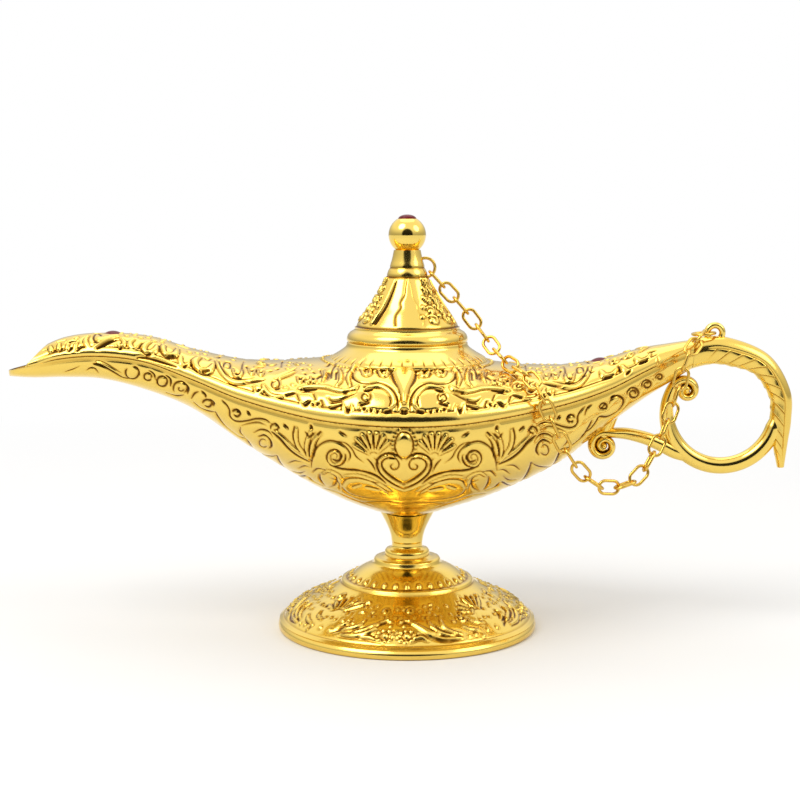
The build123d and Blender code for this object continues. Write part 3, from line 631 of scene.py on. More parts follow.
band(lowerMap, lower["lipLow"], lower["lipTop"], lower["lipHeight"])
fade = np.clip((columns - lower["plainEnd"]) / lower["fade"], 0, 1)
finishMap(lowerMap, lower["depth"], lower["pillow"], fade)

print("relief of the upper shell")
upper = {"cell": 0.14, "tall": 44.0, "height": 0.46, "depth": 0.4, "pillow": 0.4, "bandLow": 0.15,
         "bandTop": 3.7, "bandHeight": 0.5, "collarBeads": 58, "collarReach": 22.4, "collarBead": 0.42,
         "hoodPlain": 92, "tailPlain": 64.5}
# how wide the smooth band is along the body, as shares
bandShares = [(-100, 0.62), (-80, 0.72), (-40, 0.85), (0, 1.0), (45, 0.88), (75, 0.85)]
upperMap = reliefMap(mapSpan["left"], 0, mapSpan["wide"], upper["tall"], upper["cell"])
h = upper["height"]


def onCrown(radius, angle):
    # a place on the crown from its distance to the neck's axis and its angle from the front
    x, y = radius * math.sin(math.radians(angle)), radius * math.cos(math.radians(angle))
    return x, arcLength(x, y, True)


for k in range(upper["collarBeads"] + 1):
    press(upperMap, *onCrown(upper["collarReach"], -90 + 180 * k / upper["collarBeads"]), upper["collarBead"],
          h)
# the fleuron in the middle
stroke(upperMap, [(mirrorX, 25), (mirrorX, 21), (mirrorX, 17.5), (mirrorX, 13.5), (mirrorX, 10.5),
                  (mirrorX, 6.6)],
       [1.5, 2.3, 2.8, 2.0, 1.2, 0.6], 0.8)
draw(upperMap, h, True, [
    # inner part: scrolls, petals and dots beside the fleuron
    (-0.28, (352, 371), (353.5, 377.5), (360, 382), (369, 383), (379, 382), (387, 384.5), (393, 389.5),
     (397.3, 397), (398.3, 405), (397, 412)),
    (0.66, (366, 388), (373, 386.3), (381, 386.3), (388, 390), (393, 396.5), (394, 403), (390.5, 408)),
    (-0.22, (389, 396), (390.5, 401), (388.5, 406)), (-0.27, *coil(365.2, 396.2, 5.6, -60, 1.2, 0.4)),
    (0.74, (299, 389), (306, 387.3), (315, 386.2), (325, 387), (335, 389.6), (346, 391), (354, 388.6),
     (358, 385)), (-0.46, (304.5, 389.4), (315, 388.8)), (-0.3, (309.5, 384.5), (318, 383.3)),
    (-0.34, (345, 392.5), (353, 390.4)), (-0.32, (364, 386.4), (372, 384.6)),
    (-0.42, (365, 390.4), (371.5, 389.2)), (-0.52, (361, 404.3), (368, 402.2)),
    (-0.32, (331, 402.8), (341, 401.2)), (-0.44, (331, 408.2), (341, 404.4)),
    (-0.28, (327.5, 396.5), (331, 400.3), (340, 399.6), (350, 394.8), (356, 392.5)),
    (-0.24, (396, 362), (392.6, 367.5), (391.6, 374), (393.6, 381), (397, 387)),
    (-0.5, (347.3, 409.3), (347.9, 412.6)), (-0.42, (363.6, 408), (364.2, 410.4)),
    (-0.4, (370.6, 409.8), (371, 412)), (-0.4, (376.8, 411), (377.2, 413.2)),
    (-0.62, (385.8, 412), (390.2, 411)), (-0.5, (402.2, 410.5), (402.6, 413.4)),
    (0.5, (343, 404), (343.5, 409), (347, 415), (352, 411), (351.5, 404)),
    (0.42, (360, 407), (363.8, 412), (367.5, 407.5)), (0.42, (368, 408.5), (371, 413.6), (374, 409.5)),
    (0.42, (374.6, 410), (377.4, 414.8), (380.6, 410.5)), (-0.42, (359, 365.6), (361.6, 362.4)),
    (-0.45, (364.6, 370.6), (367, 367)), (-0.36, (372.6, 369), (373.4, 366)),
    (-0.44, (382.3, 371.6), (384, 368)), (-0.42, (390.4, 369.8), (392, 367.4)),
    (0.5, (362, 370), (364.5, 375), (370, 374), (370.5, 367)),
    (0.5, (378.5, 368), (381, 375), (386.5, 375), (387.5, 367)),
    (-0.24, (377.5, 365), (377, 371), (379.5, 377)),
    (0.62, (357, 349), (358, 360), (352.5, 369), (348.6, 378), (350, 386)),
    (-0.36, (347.6, 371.4), (351, 368.2)), (-0.32, (336, 371.6), (335.5, 379)),
    (-0.32, (331.4, 371), (330.6, 377.6)),
    (-0.24, (336.5, 356), (336, 362), (333, 368), (329, 375), (327, 381)),
    (-0.34, (326.6, 366.2), (329.2, 363.4)), (0.5, (339, 368), (341, 374), (340.5, 381), (336, 386)),
    (0.42, (324.5, 370), (325, 376), (322, 382)), (-0.32, (328.4, 371.8), (328.8, 374)),
    (-0.4, (304.4, 380), (308.6, 379)), (-0.4, (300, 377.4), (300.4, 380)),
    (-0.4, (313, 377.8), (313, 380.2)), (-0.4, (317, 377.6), (320.2, 375)),
    (-0.3, (302, 368.4), (303.4, 369.6)), (-0.3, (304.4, 373), (306, 374.4)),
    (-0.3, (313, 371.6), (315, 373)), (-0.3, (294, 369.4), (295, 371)),
    (0.42, (297, 376), (299.6, 382.4), (303.4, 377.4)), (0.42, (304, 377), (307, 382.6), (311, 377.6)),
    (0.42, (310.6, 376), (313, 382.4), (316, 377)), (-0.24, (320, 369.5), (321.6, 376.5)),
    (-0.46, (304.8, 405.6), (309.2, 401.4)), (-0.4, (316.6, 405), (318.2, 403)),
    (0.5, (300, 402), (303.5, 408.5), (309, 407), (312.5, 401)),
    (0.42, (314, 402.5), (317.4, 407.6), (321, 403)), (-0.26, (296.4, 394), (298.6, 400)),
    (-0.26, (313, 393.6), (315.4, 399.6)), (-0.26, (321, 400), (323, 406)),
    (-0.4, (286, 395.2), (294, 392.8)), (-0.24, (301, 392.5), (308, 391), (314, 393)),
    # outer part: leaf stroke, dots and curls
    (-0.3, (281.5, 375.5), (289, 371.8), (296.5, 367.5)), (0.5, (279, 378.5), (288, 374.8), (296, 371)),
    (-0.26, *coil(274.4, 383.4, 5.4, -100, 1.1, 0.45)), (-0.36, (275.5, 389), (279, 387.6)),
    (-0.38, (257.4, 391.4), (259.4, 389.4)), (0.56, (262.6, 384.5), (266, 391), (273, 396), (283, 396.4)),
    (0.42, (253.6, 386), (256, 393), (261, 392), (263, 387)),
    (0.66, (216.6, 361), (219.6, 369), (224.6, 376.6), (232, 381.6), (241, 382.6), (250, 381.8)),
    (-0.27, (219, 360), (222, 367.4), (227, 373.6), (233.4, 377.6), (243, 378.4), (254, 377.4)),
    (-0.48, (245.6, 382.4), (256, 380.8), (264, 379.2)), (-0.4, (236.4, 374), (238, 372.6)),
    (-0.4, (251.4, 371.6), (252.8, 369.8)), (-0.4, (260.4, 373), (261.8, 371.4)),
    (-0.36, (269, 371.2), (271.4, 370.6)), (-0.32, (276, 369.4), (278.4, 368.2)),
    (-0.32, (246.4, 366), (247.4, 368)), (-0.26, *coil(227.6, 365, 4.2, 150, 1.0, 0.5)),
    (-0.34, (217, 357.4), (221, 355.6)), (0.42, (232.6, 368), (235.4, 376.6), (241, 374.6), (242.4, 368)),
    (0.4, (248.4, 368), (251.4, 374.4), (255.4, 369)), (0.4, (257.4, 369), (260.6, 375.4), (264.4, 370)),
    (-0.26, (244, 361), (242, 367), (243.6, 373)), (-0.24, (283, 360), (281, 367)),
])
draw(upperMap, h, False, [
    # swelling leaf lobes of the hood, with cuts under their lower ends that carry painted shade
    (0.9, (200, 357), (195, 361), (197, 367), (203, 370.6), (210, 369.4), (214, 364)),
    (-0.62, (203, 372), (208.6, 370.4)),
    (-0.28, (190.6, 359), (192, 366), (197.4, 372.4), (206, 375.4), (213, 373)),
    (-0.26, (204, 357), (208, 359.6), (212.6, 358)),
    (0.8, (181, 356), (180.6, 362), (184.4, 366.6), (189.4, 363)), (-0.5, (184, 367.4), (186.6, 365.6)),
    (0.9, (164, 345), (163, 350.4), (168, 355), (175.4, 354), (178, 348.6)),
    (-0.62, (168.6, 357), (173.6, 356.6)), (-0.28, (160, 346.4), (162, 353), (167, 358.4)),
    (-0.34, (177, 344.4), (182.4, 346.4), (188.4, 348.6)),
    (0.8, (150, 342), (144.6, 345.4), (144, 350.4), (149, 353), (155, 350), (157.4, 345)),
    (-0.52, (147, 355.6), (150, 354)), (-0.26, (140.6, 347.6), (143, 352.6), (147.4, 356.6)),
    (-0.34, (142.4, 343), (138, 348)), (-0.3, (162.6, 339.6), (164.6, 341)),
    (0.7, (134, 339.5), (129.6, 343), (131.4, 347.6), (136, 348.6)),
    (-0.44, (137.6, 358), (146, 358.2), (160, 361.8), (176.6, 367.4)),
    (0.62, (121, 338.6), (124.4, 342.4), (121.4, 346.6), (117.4, 344.4)),
    (-0.42, (120, 349.4), (121.4, 347.4)), (-0.66, (97.4, 348.6), (103, 344.6), (110, 341.2), (117.6, 339.6)),
    (-0.34, (111.6, 336.2), (117.6, 335)),
    (0.6, (92, 349), (98, 345), (104, 341), (112, 337.6), (119, 336.4)), (-0.38, (94.6, 341.6), (95.6, 340)),
    (-0.3, *coil(98, 336.6, 5.4, 60, 0.8, 0.6)), (0.62, (88.6, 335.6), (85.4, 340), (87.4, 346), (92, 349.4)),
    (0.66, (50.6, 343.6), (51.4, 348), (54, 352.4)), (-0.4, (53, 351.2), (54.6, 348.4)),
    (0.62, (59.6, 341.6), (59, 347), (61.4, 351.6)), (-0.4, (60.4, 350.6), (61.8, 347)),
    (0.62, (68.4, 341.6), (67.4, 347), (70, 351.8)), (-0.4, (69.4, 350.6), (71.4, 347)),
    (0.6, (77.4, 341.4), (75, 346.4), (76.6, 352)), (-0.44, (77.6, 350.4), (81.4, 346.2)),
    (-0.32, (58, 340), (66, 338.6)), (-0.34, (69, 340.6), (75.4, 339.6)), (-0.3, (44.6, 346.8), (48, 346.2)),
    # tail
    (0.9, (600.6, 371), (605, 376), (612, 375), (617, 369)), (-0.62, (605.4, 378), (611.4, 376.6)),
    (0.8, (621.6, 366), (625.6, 371.4), (631, 369.6)), (-0.5, (627, 374), (629.6, 371.6)),
    (-0.62, (640.6, 363), (646.6, 361)), (0.9, (635.6, 358.4), (640, 361.6), (647, 359.4), (650, 354)),
    (-0.28, (618, 365.4), (620, 371.6)), (-0.3, (648.6, 352), (657, 350)),
    (-0.34, (594, 363), (598.6, 361.6)), (-0.3, (587, 368.6), (590.6, 372), (594.6, 370.6)),
    (-0.3, (583, 375), (586.4, 376.6)),
])
# small curls, leaves and beads wherever the spout and the tail are still plain, up to their ridges
ridgeRow = {"step": 3.7, "rise": 3.4, "low": 5.5, "top": 0.84, "curl": 1.6, "leaf": 3.2, "bead": 0.6}
spots = [(x, s) for x in np.arange(-90.0, 63.0, ridgeRow["step"]) if not -25 < x < 25
         for s in np.arange(ridgeRow["low"], ridgeRow["top"] * arcLength(x, 0, True), ridgeRow["rise"])]
for k, (x, s) in enumerate(spots):
    if isFree(upperMap, x, s, 1.75):
        if k % 3:
            scroll(upperMap, placing(x, s, ridgeRow["curl"], 47 * k, 1 - 2 * (k % 2)), h, 1.2, 0, 0.24, 0.34)
        else:
            leaf(upperMap, placing(x - 1.1, s - 0.9, ridgeRow["leaf"], -50 + 20 * (k % 5)), h, 0.3, 0.24)
for x, s in spots:
    for across, up in ((1.9, 0.0), (0.0, 1.7)):
        if isFree(upperMap, x + across, s + up, 0.85):
            press(upperMap, x + across, s + up, ridgeRow["bead"], 0.6 * h)
columns = mapAxes(upperMap)[0]
narrow = np.interp(columns, *zip(*bandShares))
band(upperMap, upper["bandLow"], upper["bandTop"] * narrow, upper["bandHeight"])
groove(upperMap, 0, 0.4, 0.3)
plain = np.where(columns < 0, 0.8 * np.clip((-columns - upper["hoodPlain"]) / 4, 0, 1),
                 np.clip((columns - upper["tailPlain"]) / 0.8, 0, 1))
finishMap(upperMap, upper["depth"], upper["pillow"], 1 - plain)

print("shells")


def shellHalf(name, side, isUpper, m):
    node = "upper_shell" if isUpper else "lower_shell"
    lipX, tailX = body["lipRadius"] - body["spoutReach"], body["tailReach"] - body["tailGap"]
    rows = body["outerRows"]
    if isUpper:
        x = np.linspace(-body["hoodReach"], tailX, body["columns"])
    else:
        bow = np.linspace(body["lipStart"], math.pi / 2, body["lipColumns"])
        rest = np.linspace(lipX, tailX, body["columns"] - body["lipColumns"] + 1)
        x = np.concatenate([lipX - body["lipRadius"] * np.cos(bow), rest[1:]])
    # the outside from the parting line to the top, then the inside back down
    share = np.concatenate([np.linspace(0, 1, rows), np.linspace(1, 0, body["innerRows"]), [0]])
    inner = np.arange(len(share)) >= rows
    inner[-1] = False
    alongX = np.tile(x, (len(share), 1))
    top = np.full(alongX.shape, math.pi / 2)
    if isUpper:
        hole = np.where(inner, body["neckBore"], body["neckHole"])[:, None]
        near = np.abs(alongX) < hole
        edge = np.sqrt(np.clip(hole**2 - alongX**2, 0, None)) / halfWidthAt(alongX)
        top = np.where(near, np.arccos(np.clip(edge, 0, 1) ** (body["power"] / 2)), top)
    turn = share[:, None] * top
    inward = np.where(inner, body["wall"], 0.0)[:, None]
    if isUpper:  # the hood's edge leans back from the parting line
        rim = float(between(-body["hoodReach"], 2))
        start = alongX[:, :1].copy()
        for _ in range(12):
            _, z = shellPoint(start, turn[:, :1], True, inward)
            start = -body["hoodReach"] + (z - rim) / math.tan(math.radians(body["hoodAngle"]))
        fading = np.clip(1 - (alongX - alongX[:, :1]) / body["hoodLean"], 0, 1)
        alongX = alongX + (start - alongX[:, :1]) * fading ** 1.5
    y, z = shellPoint(alongX, turn, isUpper, inward)
    points = np.stack([alongX, side * y, z], -1)
    outer = points[:rows]
    normal = np.cross(np.gradient(outer, axis=1), np.gradient(outer, axis=0))
    normal[-1, :, 1] = np.where(np.abs(normal[-1, :, 1]) < np.abs(normal[-1, :, 2]) * 0.6, 0,
                                normal[-1, :, 1])
    normal /= np.maximum(np.linalg.norm(normal, axis=2, keepdims=True), 1e-9)
    outward = outer - np.stack([alongX, 0 * y, between(alongX, 2)], -1)[:rows]
    normal *= np.sign((normal * outward).sum(2, keepdims=True) + 1e-9)
    step = np.linalg.norm(np.diff(outer, axis=0), axis=2)
    arc = np.concatenate([np.zeros((1, len(x))), np.cumsum(step, axis=0)])
    height = readMap(m, outer[..., 0], arc)
    height *= np.clip((outer[..., 0] + body["spoutReach"]) / body["lipPlain"], 0, 1)
    # the inside of the shell gets an even painted shade; the outside takes the map's painted shade
    tint = np.full(alongX.shape, 0.55)
    tint[:rows] = readMap(m, outer[..., 0], arc, "paintedShade")
    outer += normal * height[..., None]
    points[-1] = points[0]
    finishMesh(name, sheet(points, tint), "lamp", [node], goldCast)


for side, word in ((-1, "front"), (1, "back")):
    shellHalf(f"lower_shell_{word}", side, False, lowerMap)
    shellHalf(f"upper_shell_{word}", side, True, upperMap)

print("neck collar and bowl pad")
collar = {"bore": 13.6, "top": 76.6, "neck": 15.9, "flare": 18.5, "flareDrop": 3.0, "skirt": 21.2,
          "skirtDrop": 4.9, "rootDrop": 6.0, "edge": 0.35}
flare = curved([
    (collar["neck"], collar["top"] - collar["edge"]), (16.4, 75.1),
    (collar["flare"], collar["top"] - collar["flareDrop"]), (20.2, 72.5),
    (collar["skirt"] - 0.1, collar["top"] - collar["skirtDrop"]),
], 8)
profile = [(collar["bore"], collar["top"] - collar["rootDrop"]),
           (collar["bore"], collar["top"] - collar["edge"]),
           (collar["bore"] + collar["edge"], collar["top"]), (collar["neck"] - collar["edge"], collar["top"])]
profile += flare + [(collar["skirt"], 71.2), (collar["skirt"] - 0.2, collar["top"] - collar["rootDrop"]),
                    (collar["bore"], collar["top"] - collar["rootDrop"])]
dropRow = {"count": 46, "z": 72.4, "low": 71.0, "tall": 0.85, "rise": 0.13, "gap": 0.08, "gapTall": 0.8,
           "dent": 0.08}


def collarHeight(x, y, z):
    # a row of small drops hangs round the foot of the flare, with painted shade in the dents between them
    angle = np.arctan2(y, x)
    phase = (angle * dropRow["count"] / (2 * math.pi)) % 1.0 - 0.5
    on = (np.hypot(x, y) > collar["flare"] - 0.1) & (z > dropRow["low"])
    off = z - dropRow["z"]
    lobe = np.cos(phase * math.pi) ** 0.6 * np.exp(-((off / dropRow["tall"]) ** 2))
    middle = np.exp(-(((np.abs(phase) - 0.5) / dropRow["gap"]) ** 2))
    dent = middle * np.exp(-((off / dropRow["gapTall"]) ** 2))
    height = dropRow["rise"] * lobe - dropRow["dent"] * dent
    # the second value is painted shade, darkest in the dents
    return np.where(on, height, 0), np.where(on, np.clip(0.08 + 0.75 * dent, 0, 1), 0.05)


bm = spun(finely(profile, 0.3), 600)
carve(bm, collarHeight)
finishMesh("neck_collar", bm, "lamp", ["upper_shell"], goldCast)
pad = {"radius": 6.5, "top": 34.2, "low": 32.4, "hole": 2.15, "edge": 0.3}
finishMesh("bowl_pad", spun([
    (pad["hole"], pad["low"]), (pad["radius"], pad["low"]), (pad["radius"], pad["top"] - pad["edge"]),
    (pad["radius"] - pad["edge"], pad["top"]), (pad["hole"], pad["top"]), (pad["hole"], pad["low"]),
], 96), "lamp", ["lower_shell"], goldCast)

print("foot")
foot = {
    "radius": 34.5, "rim": 2.4, "domeTop": 9.8, "domeHeight": 17.0, "cell": 0.14, "height": 0.5,
    "depth": 0.34, "pillow": 0.34, "beads": 31, "beadRing": 15.1, "ledge": 17.0, "sectors": 4,
    "fieldIn": 17.9, "fieldOut": 33.0, "mapReach": 36, "beadRadius": 0.66,
}
footMap = reliefMap(-foot["mapReach"], -foot["mapReach"], 2 * foot["mapReach"], 2 * foot["mapReach"],
                    foot["cell"])
h = foot["height"]


def onFoot(radius, angle):
    a = math.radians(front + angle)
    return radius * math.cos(a), radius * math.sin(a)


domeShares = [(1.0, 0.0), (0.951, 0.055), (0.911, 0.110), (0.769, 0.301), (0.530, 0.486), (0.320, 0.678),
              (0.113, 0.918), (0.0, 1.0)]
domeProfile = [(foot["domeTop"] + (foot["radius"] - foot["domeTop"]) * r,
                foot["rim"] + (foot["domeHeight"] - foot["rim"]) * z) for r, z in domeShares]


def drawFoot(lines):
    # the front quarter as the photograph shows it, then turned on to the other three
    for size, *pixels in lines:
        spots = onTurned(pixels, domeProfile)[:, :2]
        for k in range(foot["sectors"]):
            a = 2 * math.pi * k / foot["sectors"]
            rib(footMap, size, h, [(x * math.cos(a) - y * math.sin(a), x * math.sin(a) + y * math.cos(a))
                                   for x, y in spots])


def dots(size, spots):
    # lines so short that each leaves one round dot
    return [(size, (px, py), (px + 0.4, py + 0.4)) for px, py in spots]


def rosette(px, py):
    # a ring of small beads round a large one
    ring = [(px + 8.0 * math.cos(a), py + 5.4 * math.sin(a)) for a in np.linspace(0.2, 6.0, 9)]
    return [(0.42, (u, v), (u + 0.2, v + 0.2)) for u, v in ring] + dots(0.8, [(px - 0.2, py - 0.2)])


fanRoot = (479, 613)
fanTips = ((458, 612), (456.5, 606.5), (457.5, 601.6), (461, 597.6), (466, 595.6), (472, 595.4), (478, 597.4))
fanGaps = ((457, 609.3), (456.8, 604), (459, 599.6), (463.4, 596.4), (469, 595.3), (475, 596.4))
drawFoot([
    # beads and dots over the dome
    *dots(1.0, [(386.4, 611.2), (410, 611.2)]),
    *dots(0.42, [(354.8, 603), (346.6, 612.6), (424.6, 606.4), (428.6, 612.6), (434.4, 615.4),
           (450.6, 614.8)]), *dots(0.5, [(342.8, 620.6), (446.2, 606), (453.6, 622)]),
    *dots(0.36, [(419.6, 611.4)]), *dots(0.4, [(484.6, 617)]), (-0.42, (387, 611), (387.6, 612)),
    (-0.42, (410.6, 611), (411.2, 612)), (0.5, (367.6, 602.6), (370, 603)),
    (0.42, (361, 612.6), (365, 613.4)), (0.42, (372.6, 612.4), (374.6, 611.6)),
    (0.42, (430, 604.6), (431, 604.6)), (0.36, (378, 606), (378.4, 606.2)),
    # brows over the rosettes and long feathers beside them
    (0.5, (374, 628), (380, 623.6), (387, 621.6), (393, 623.4)),
    (0.5, (400, 623.4), (406, 621.4), (413, 624.4), (420, 629.6)), (-0.36, (380, 624.6), (387, 622.6)),
    (-0.36, (404, 622.4), (410, 623.6)),
    (0.5, (420, 629), (428, 634.4), (438, 638.4), (448, 639.4), (462, 638)),
    (-0.34, (432, 637), (442, 640.2), (458, 640)),
    (0.42, (412, 622.6), (420, 627), (429, 631.8), (440, 635.6)),
    (0.42, (428, 622), (434, 629), (444, 634.4), (456, 636)),
    (0.42, (440, 620), (444, 627), (452, 632.6), (462, 634.6)),
    (-0.26, (434, 624), (441, 630.6), (451, 634.2)),
    (0.5, (376, 629), (366, 633.6), (354, 636.2), (340, 635)),
    (-0.34, (347, 626.4), (340, 630), (332, 632.6)),
    (0.42, (384, 623), (374, 625.6), (362, 630.6), (352, 633)),
    (0.42, (366, 620), (359, 625.6), (349, 629), (338, 630)),
    (-0.26, (372, 626.4), (362, 629.4), (352, 631.6)), (0.42, (352, 618), (346, 623.6), (338, 626.6)),
    (0.4, (376, 640.4), (368, 637.6), (360, 638.6)), (0.4, (414, 640), (421, 637.6), (428, 641)),
    # bead rosettes above the rim, then shell fans that open towards the stem
    *rosette(384.8, 636.4), *rosette(406.8, 636.8),
    *[(0.55, *spoke(fanRoot, tip, (0.3, 0.7, 1))) for tip in fanTips],
    *[(-0.22, *spoke(fanRoot, gap, (0.36, 0.95))) for gap in fanGaps],
    (0.42, (466, 618), (474, 622), (484, 623)), (0.42, (462, 626), (470, 630), (480, 630.6)),
    (0.4, (476, 634.4), (476.4, 634.6)), (0.4, (484, 635.6), (484.4, 635.8)),
    (0.36, (470, 636.6), (470.4, 636.8)),
])
# small curls, leaves and beads fill what is left of the field
fill = {"rings": (20.6, 23.6, 26.6, 29.6), "step": 3.2, "curl": 1.4, "leaf": 2.6, "bead": 0.42}
spots = [(radius, angle) for n, radius in enumerate(fill["rings"])
         for angle in np.arange(40 * n, 40 * n + 359, math.degrees(fill["step"] / radius))]
for k, (radius, angle) in enumerate(spots):
    x, y = onFoot(radius, angle)
    if isFree(footMap, x, y, 1.2):
        if k % 3:
            scroll(footMap, placing(x, y, fill["curl"], angle + 50 * k, 1 - 2 * (k % 2)), h, 1.2, 0, 0.22,
                   0.34)
        else:
            leaf(footMap, placing(x, y, fill["leaf"], angle + 30 * (k % 5)), h, 0.3, 0.2)
    for turn in (2.4, -2.4):
        x, y = onFoot(radius + 1.5, angle + turn)
        if isFree(footMap, x, y, 0.6):
            press(footMap, x, y, fill["bead"], h)
for k in range(foot["beads"]):
    press(footMap, *onFoot(foot["beadRing"], 360 * k / foot["beads"]), foot["beadRadius"], h * 1.1)
    x, y = onFoot(foot["beadRing"] + 0.25, 360 * k / foot["beads"])
    press(footMap, x, y, 0.3, 0.6, "down")
away = np.hypot(*mapAxes(footMap))
beads = np.abs(away - foot["beadRing"]) < 0.8
for layer in ("up", "down"):
    footMap[layer] = np.where((away > foot["fieldIn"]) & (away < foot["fieldOut"]) | beads, footMap[layer], 0)
ledge = 0.6 * np.sqrt(np.clip(1 - ((away - foot["ledge"]) / 0.62) ** 2, 0, 1))
footMap["up"] = np.maximum(footMap["up"], ledge)
footMap["down"] = np.maximum(footMap["down"], 0.35 * np.exp(-(((away - foot["fieldOut"]) / 0.2) ** 2)))
field = np.clip((away - foot["fieldIn"] + 0.3) / 0.5, 0, 1)
field *= np.clip((foot["fieldOut"] + 0.4 - away) / 0.3, 0, 1)
ring = np.exp(-(((away - foot["beadRing"]) / 1.4) ** 4))
finishMap(footMap, foot["depth"], foot["pillow"], np.maximum(field, np.maximum(ring, ledge > 0)))
dome = curved(domeProfile, 14)
# the rim and the dome, two turned rings and the neck, then the bore and the hollow inside
profile = [(31.5, 0), (34.0, 0), (34.4, 0.4), (34.5, 1.0), (34.4, 1.6), (33.9, 2.2)] + dome[5:]
profile += [(9.35, 17.15), (8.9, 17.6), (8.9, 18.3), (8.5, 18.8), (6.6, 19.0), (5.95, 19.3), (5.95, 20.5),
            (5.5, 21.1), (4.5, 21.3), (4.05, 21.7), (4.05, 22.8), (2.15, 22.8), (2.15, 14.6), (9.0, 14.6)]
inside = [(r - 0.8, z - 1.35) for r, z in dome[16:-6:6]][::-1]
profile += [p for p in inside if p[0] > 9.3] + [(31.5, 1.6), (31.5, 0)]


def footHeight(x, y, z):
    on = (z > 2.5) & (np.hypot(x, y) > 10.2) & (z > np.interp(np.hypot(x, y), (9, 34), (16.0, 2.2)) - 4.2)
    return np.where(on, readMap(footMap, x, y), 0), np.where(on, readMap(footMap, x, y, "paintedShade"), 0.12)


# the wall's underside is left smooth
fine = finely(profile[:6], 0.4) + profile[6:6 + len(dome) - 2] + finely(profile[4 + len(dome):], 0.9)
bm = spun(fine, 512)
carve(bm, footHeight)
finishMesh("foot_casting", bm, "lamp", ["foot"], goldCast)

print("lid")
lid = {
    "seat": 76.6, "spigot": 13.3, "spigotIn": 11.9, "drop": 4.0, "neck": 15.9, "cone": 13.8,
    "coneFoot": 80.4, "top": 100.5, "topRadius": 3.5, "cell": 0.11, "mapRadius": 9.0, "height": 0.5,
    "depth": 0.28, "pillow": 0.26, "panelFoot": 81.5, "fieldLow": 81.2, "fieldTop": 93.8,
}
lidMap = reliefMap(-29.0, 78, 58, 24, lid["cell"])
h = lid["height"]


def onLid(angle, z):
    # a place on the cone from the angle off the front and the height
    return (angle + 180) % 360 * math.pi / 180 * lid["mapRadius"] - math.pi * lid["mapRadius"], z


lidPanel = {"count": 3, "plain": 1.0, "strip": 47.0, "rib": -38.0}
for k in range(lidPanel["count"]):
    turn = 360 / lidPanel["count"] * k
    x, z = onLid(lidPanel["plain"] + turn, lid["panelFoot"])
    # a smooth drop between two wavy edges
    leftEdge = ((-2.3, 0.2), (-2.6, 2.6), (-1.7, 4.6), (-2.0, 5.8), (-1.0, 7.6), (-0.8, 9.4), (-0.2, 11.8))
    rightEdge = ((2.9, 0.2), (3.1, 2.0), (2.3, 3.6), (2.4, 5.0), (1.6, 6.8), (1.4, 8.6), (0.9, 11.2))
    for deep, edge in ((0.8, leftEdge), (0.3, rightEdge)):
        stroke(lidMap, [(x + u, z + v) for u, v in edge], [0.26] * len(edge), deep, "down")
    x, z = onLid(lidPanel["rib"] + turn, lid["panelFoot"])
    stroke(lidMap, [(x - 0.4, z + 0.4), (x + 0.6, z + 5), (x + 1.5, z + 11)], [0.34, 0.3, 0.22], 1.0, "down")
    stroke(lidMap, [(x - 1.2, z + 0.4), (x - 0.2, z + 5), (x + 1.0, z + 11)], [0.42, 0.36, 0.22], h)
    x, z = onLid(lidPanel["strip"] + turn, lid["panelFoot"])
    for j in range(5):
        reach, rise = 4.2 * (1 - 0.17 * j), z + 1.3 + 2.35 * j
        for side in (-1, 1):
            scroll(lidMap, placing(x + side * reach * 0.5, rise, 1.2 - 0.1 * j, 30 * j, side), h, 1.1, 60,
                   0.34, 0.42)
            press(lidMap, x + side * reach, rise + 0.9, 0.6, h)
        press(lidMap, x, rise + 1.0, 0.62 - 0.05 * j, h)
for z, width, depth in ((95.9, 0.35, 0.8), (93.6, 0.45, 1.0), (80.75, 0.4, 0.9)):
    groove(lidMap, z, width, depth)
heights = mapAxes(lidMap)[1]
lidMap["up"] = np.where((heights > lid["fieldLow"]) & (heights < lid["fieldTop"]), lidMap["up"], 0)
finishMap(lidMap, lid["depth"], lid["pillow"])
coneShares = [(1.0, 0.0), (0.767, 0.168), (0.553, 0.319), (0.262, 0.586), (0.078, 0.832), (0.0, 1.0)]
spanR, spanZ = lid["cone"] - lid["topRadius"], lid["top"] - lid["coneFoot"]
cone = curved([(lid["topRadius"] + spanR * r, lid["coneFoot"] + spanZ * z) for r, z in coneShares], 16)
# the spigot, the seat on the neck and the flange up to the cone, then the hollow inside
profile = [(lid["spigotIn"], lid["seat"] - lid["drop"]), (lid["spigot"], lid["seat"] - lid["drop"]),
           (lid["spigot"], lid["seat"]), (lid["neck"] - 0.2, lid["seat"] + 0.04),
           (lid["neck"], lid["seat"] + 0.3),
           (15.95, 77.2), (15.85, 77.8), (15.55, 78.5), (15.0, 79.1), (14.3, 79.5), (13.85, 79.8),
           (13.8, 80.1)]
cavity = [(0.6, 100.3), (0.6, 90.2), (4.0, 90.2), (lid["spigotIn"], 80.0),
          (lid["spigotIn"], lid["seat"] - lid["drop"])]


def lidHeight(x, y, z):
    u, _ = onLid(np.degrees(np.arctan2(y, x)) - front, z)
    outerR = np.interp(z, [p[1] for p in cone], [p[0] for p in cone])
    on = (z > 80.5) & (z < 100.2) & (np.hypot(x, y) > outerR - 0.15)
    return np.where(on, readMap(lidMap, u, z), 0), np.where(on, readMap(lidMap, u, z, "paintedShade"), 0.1)


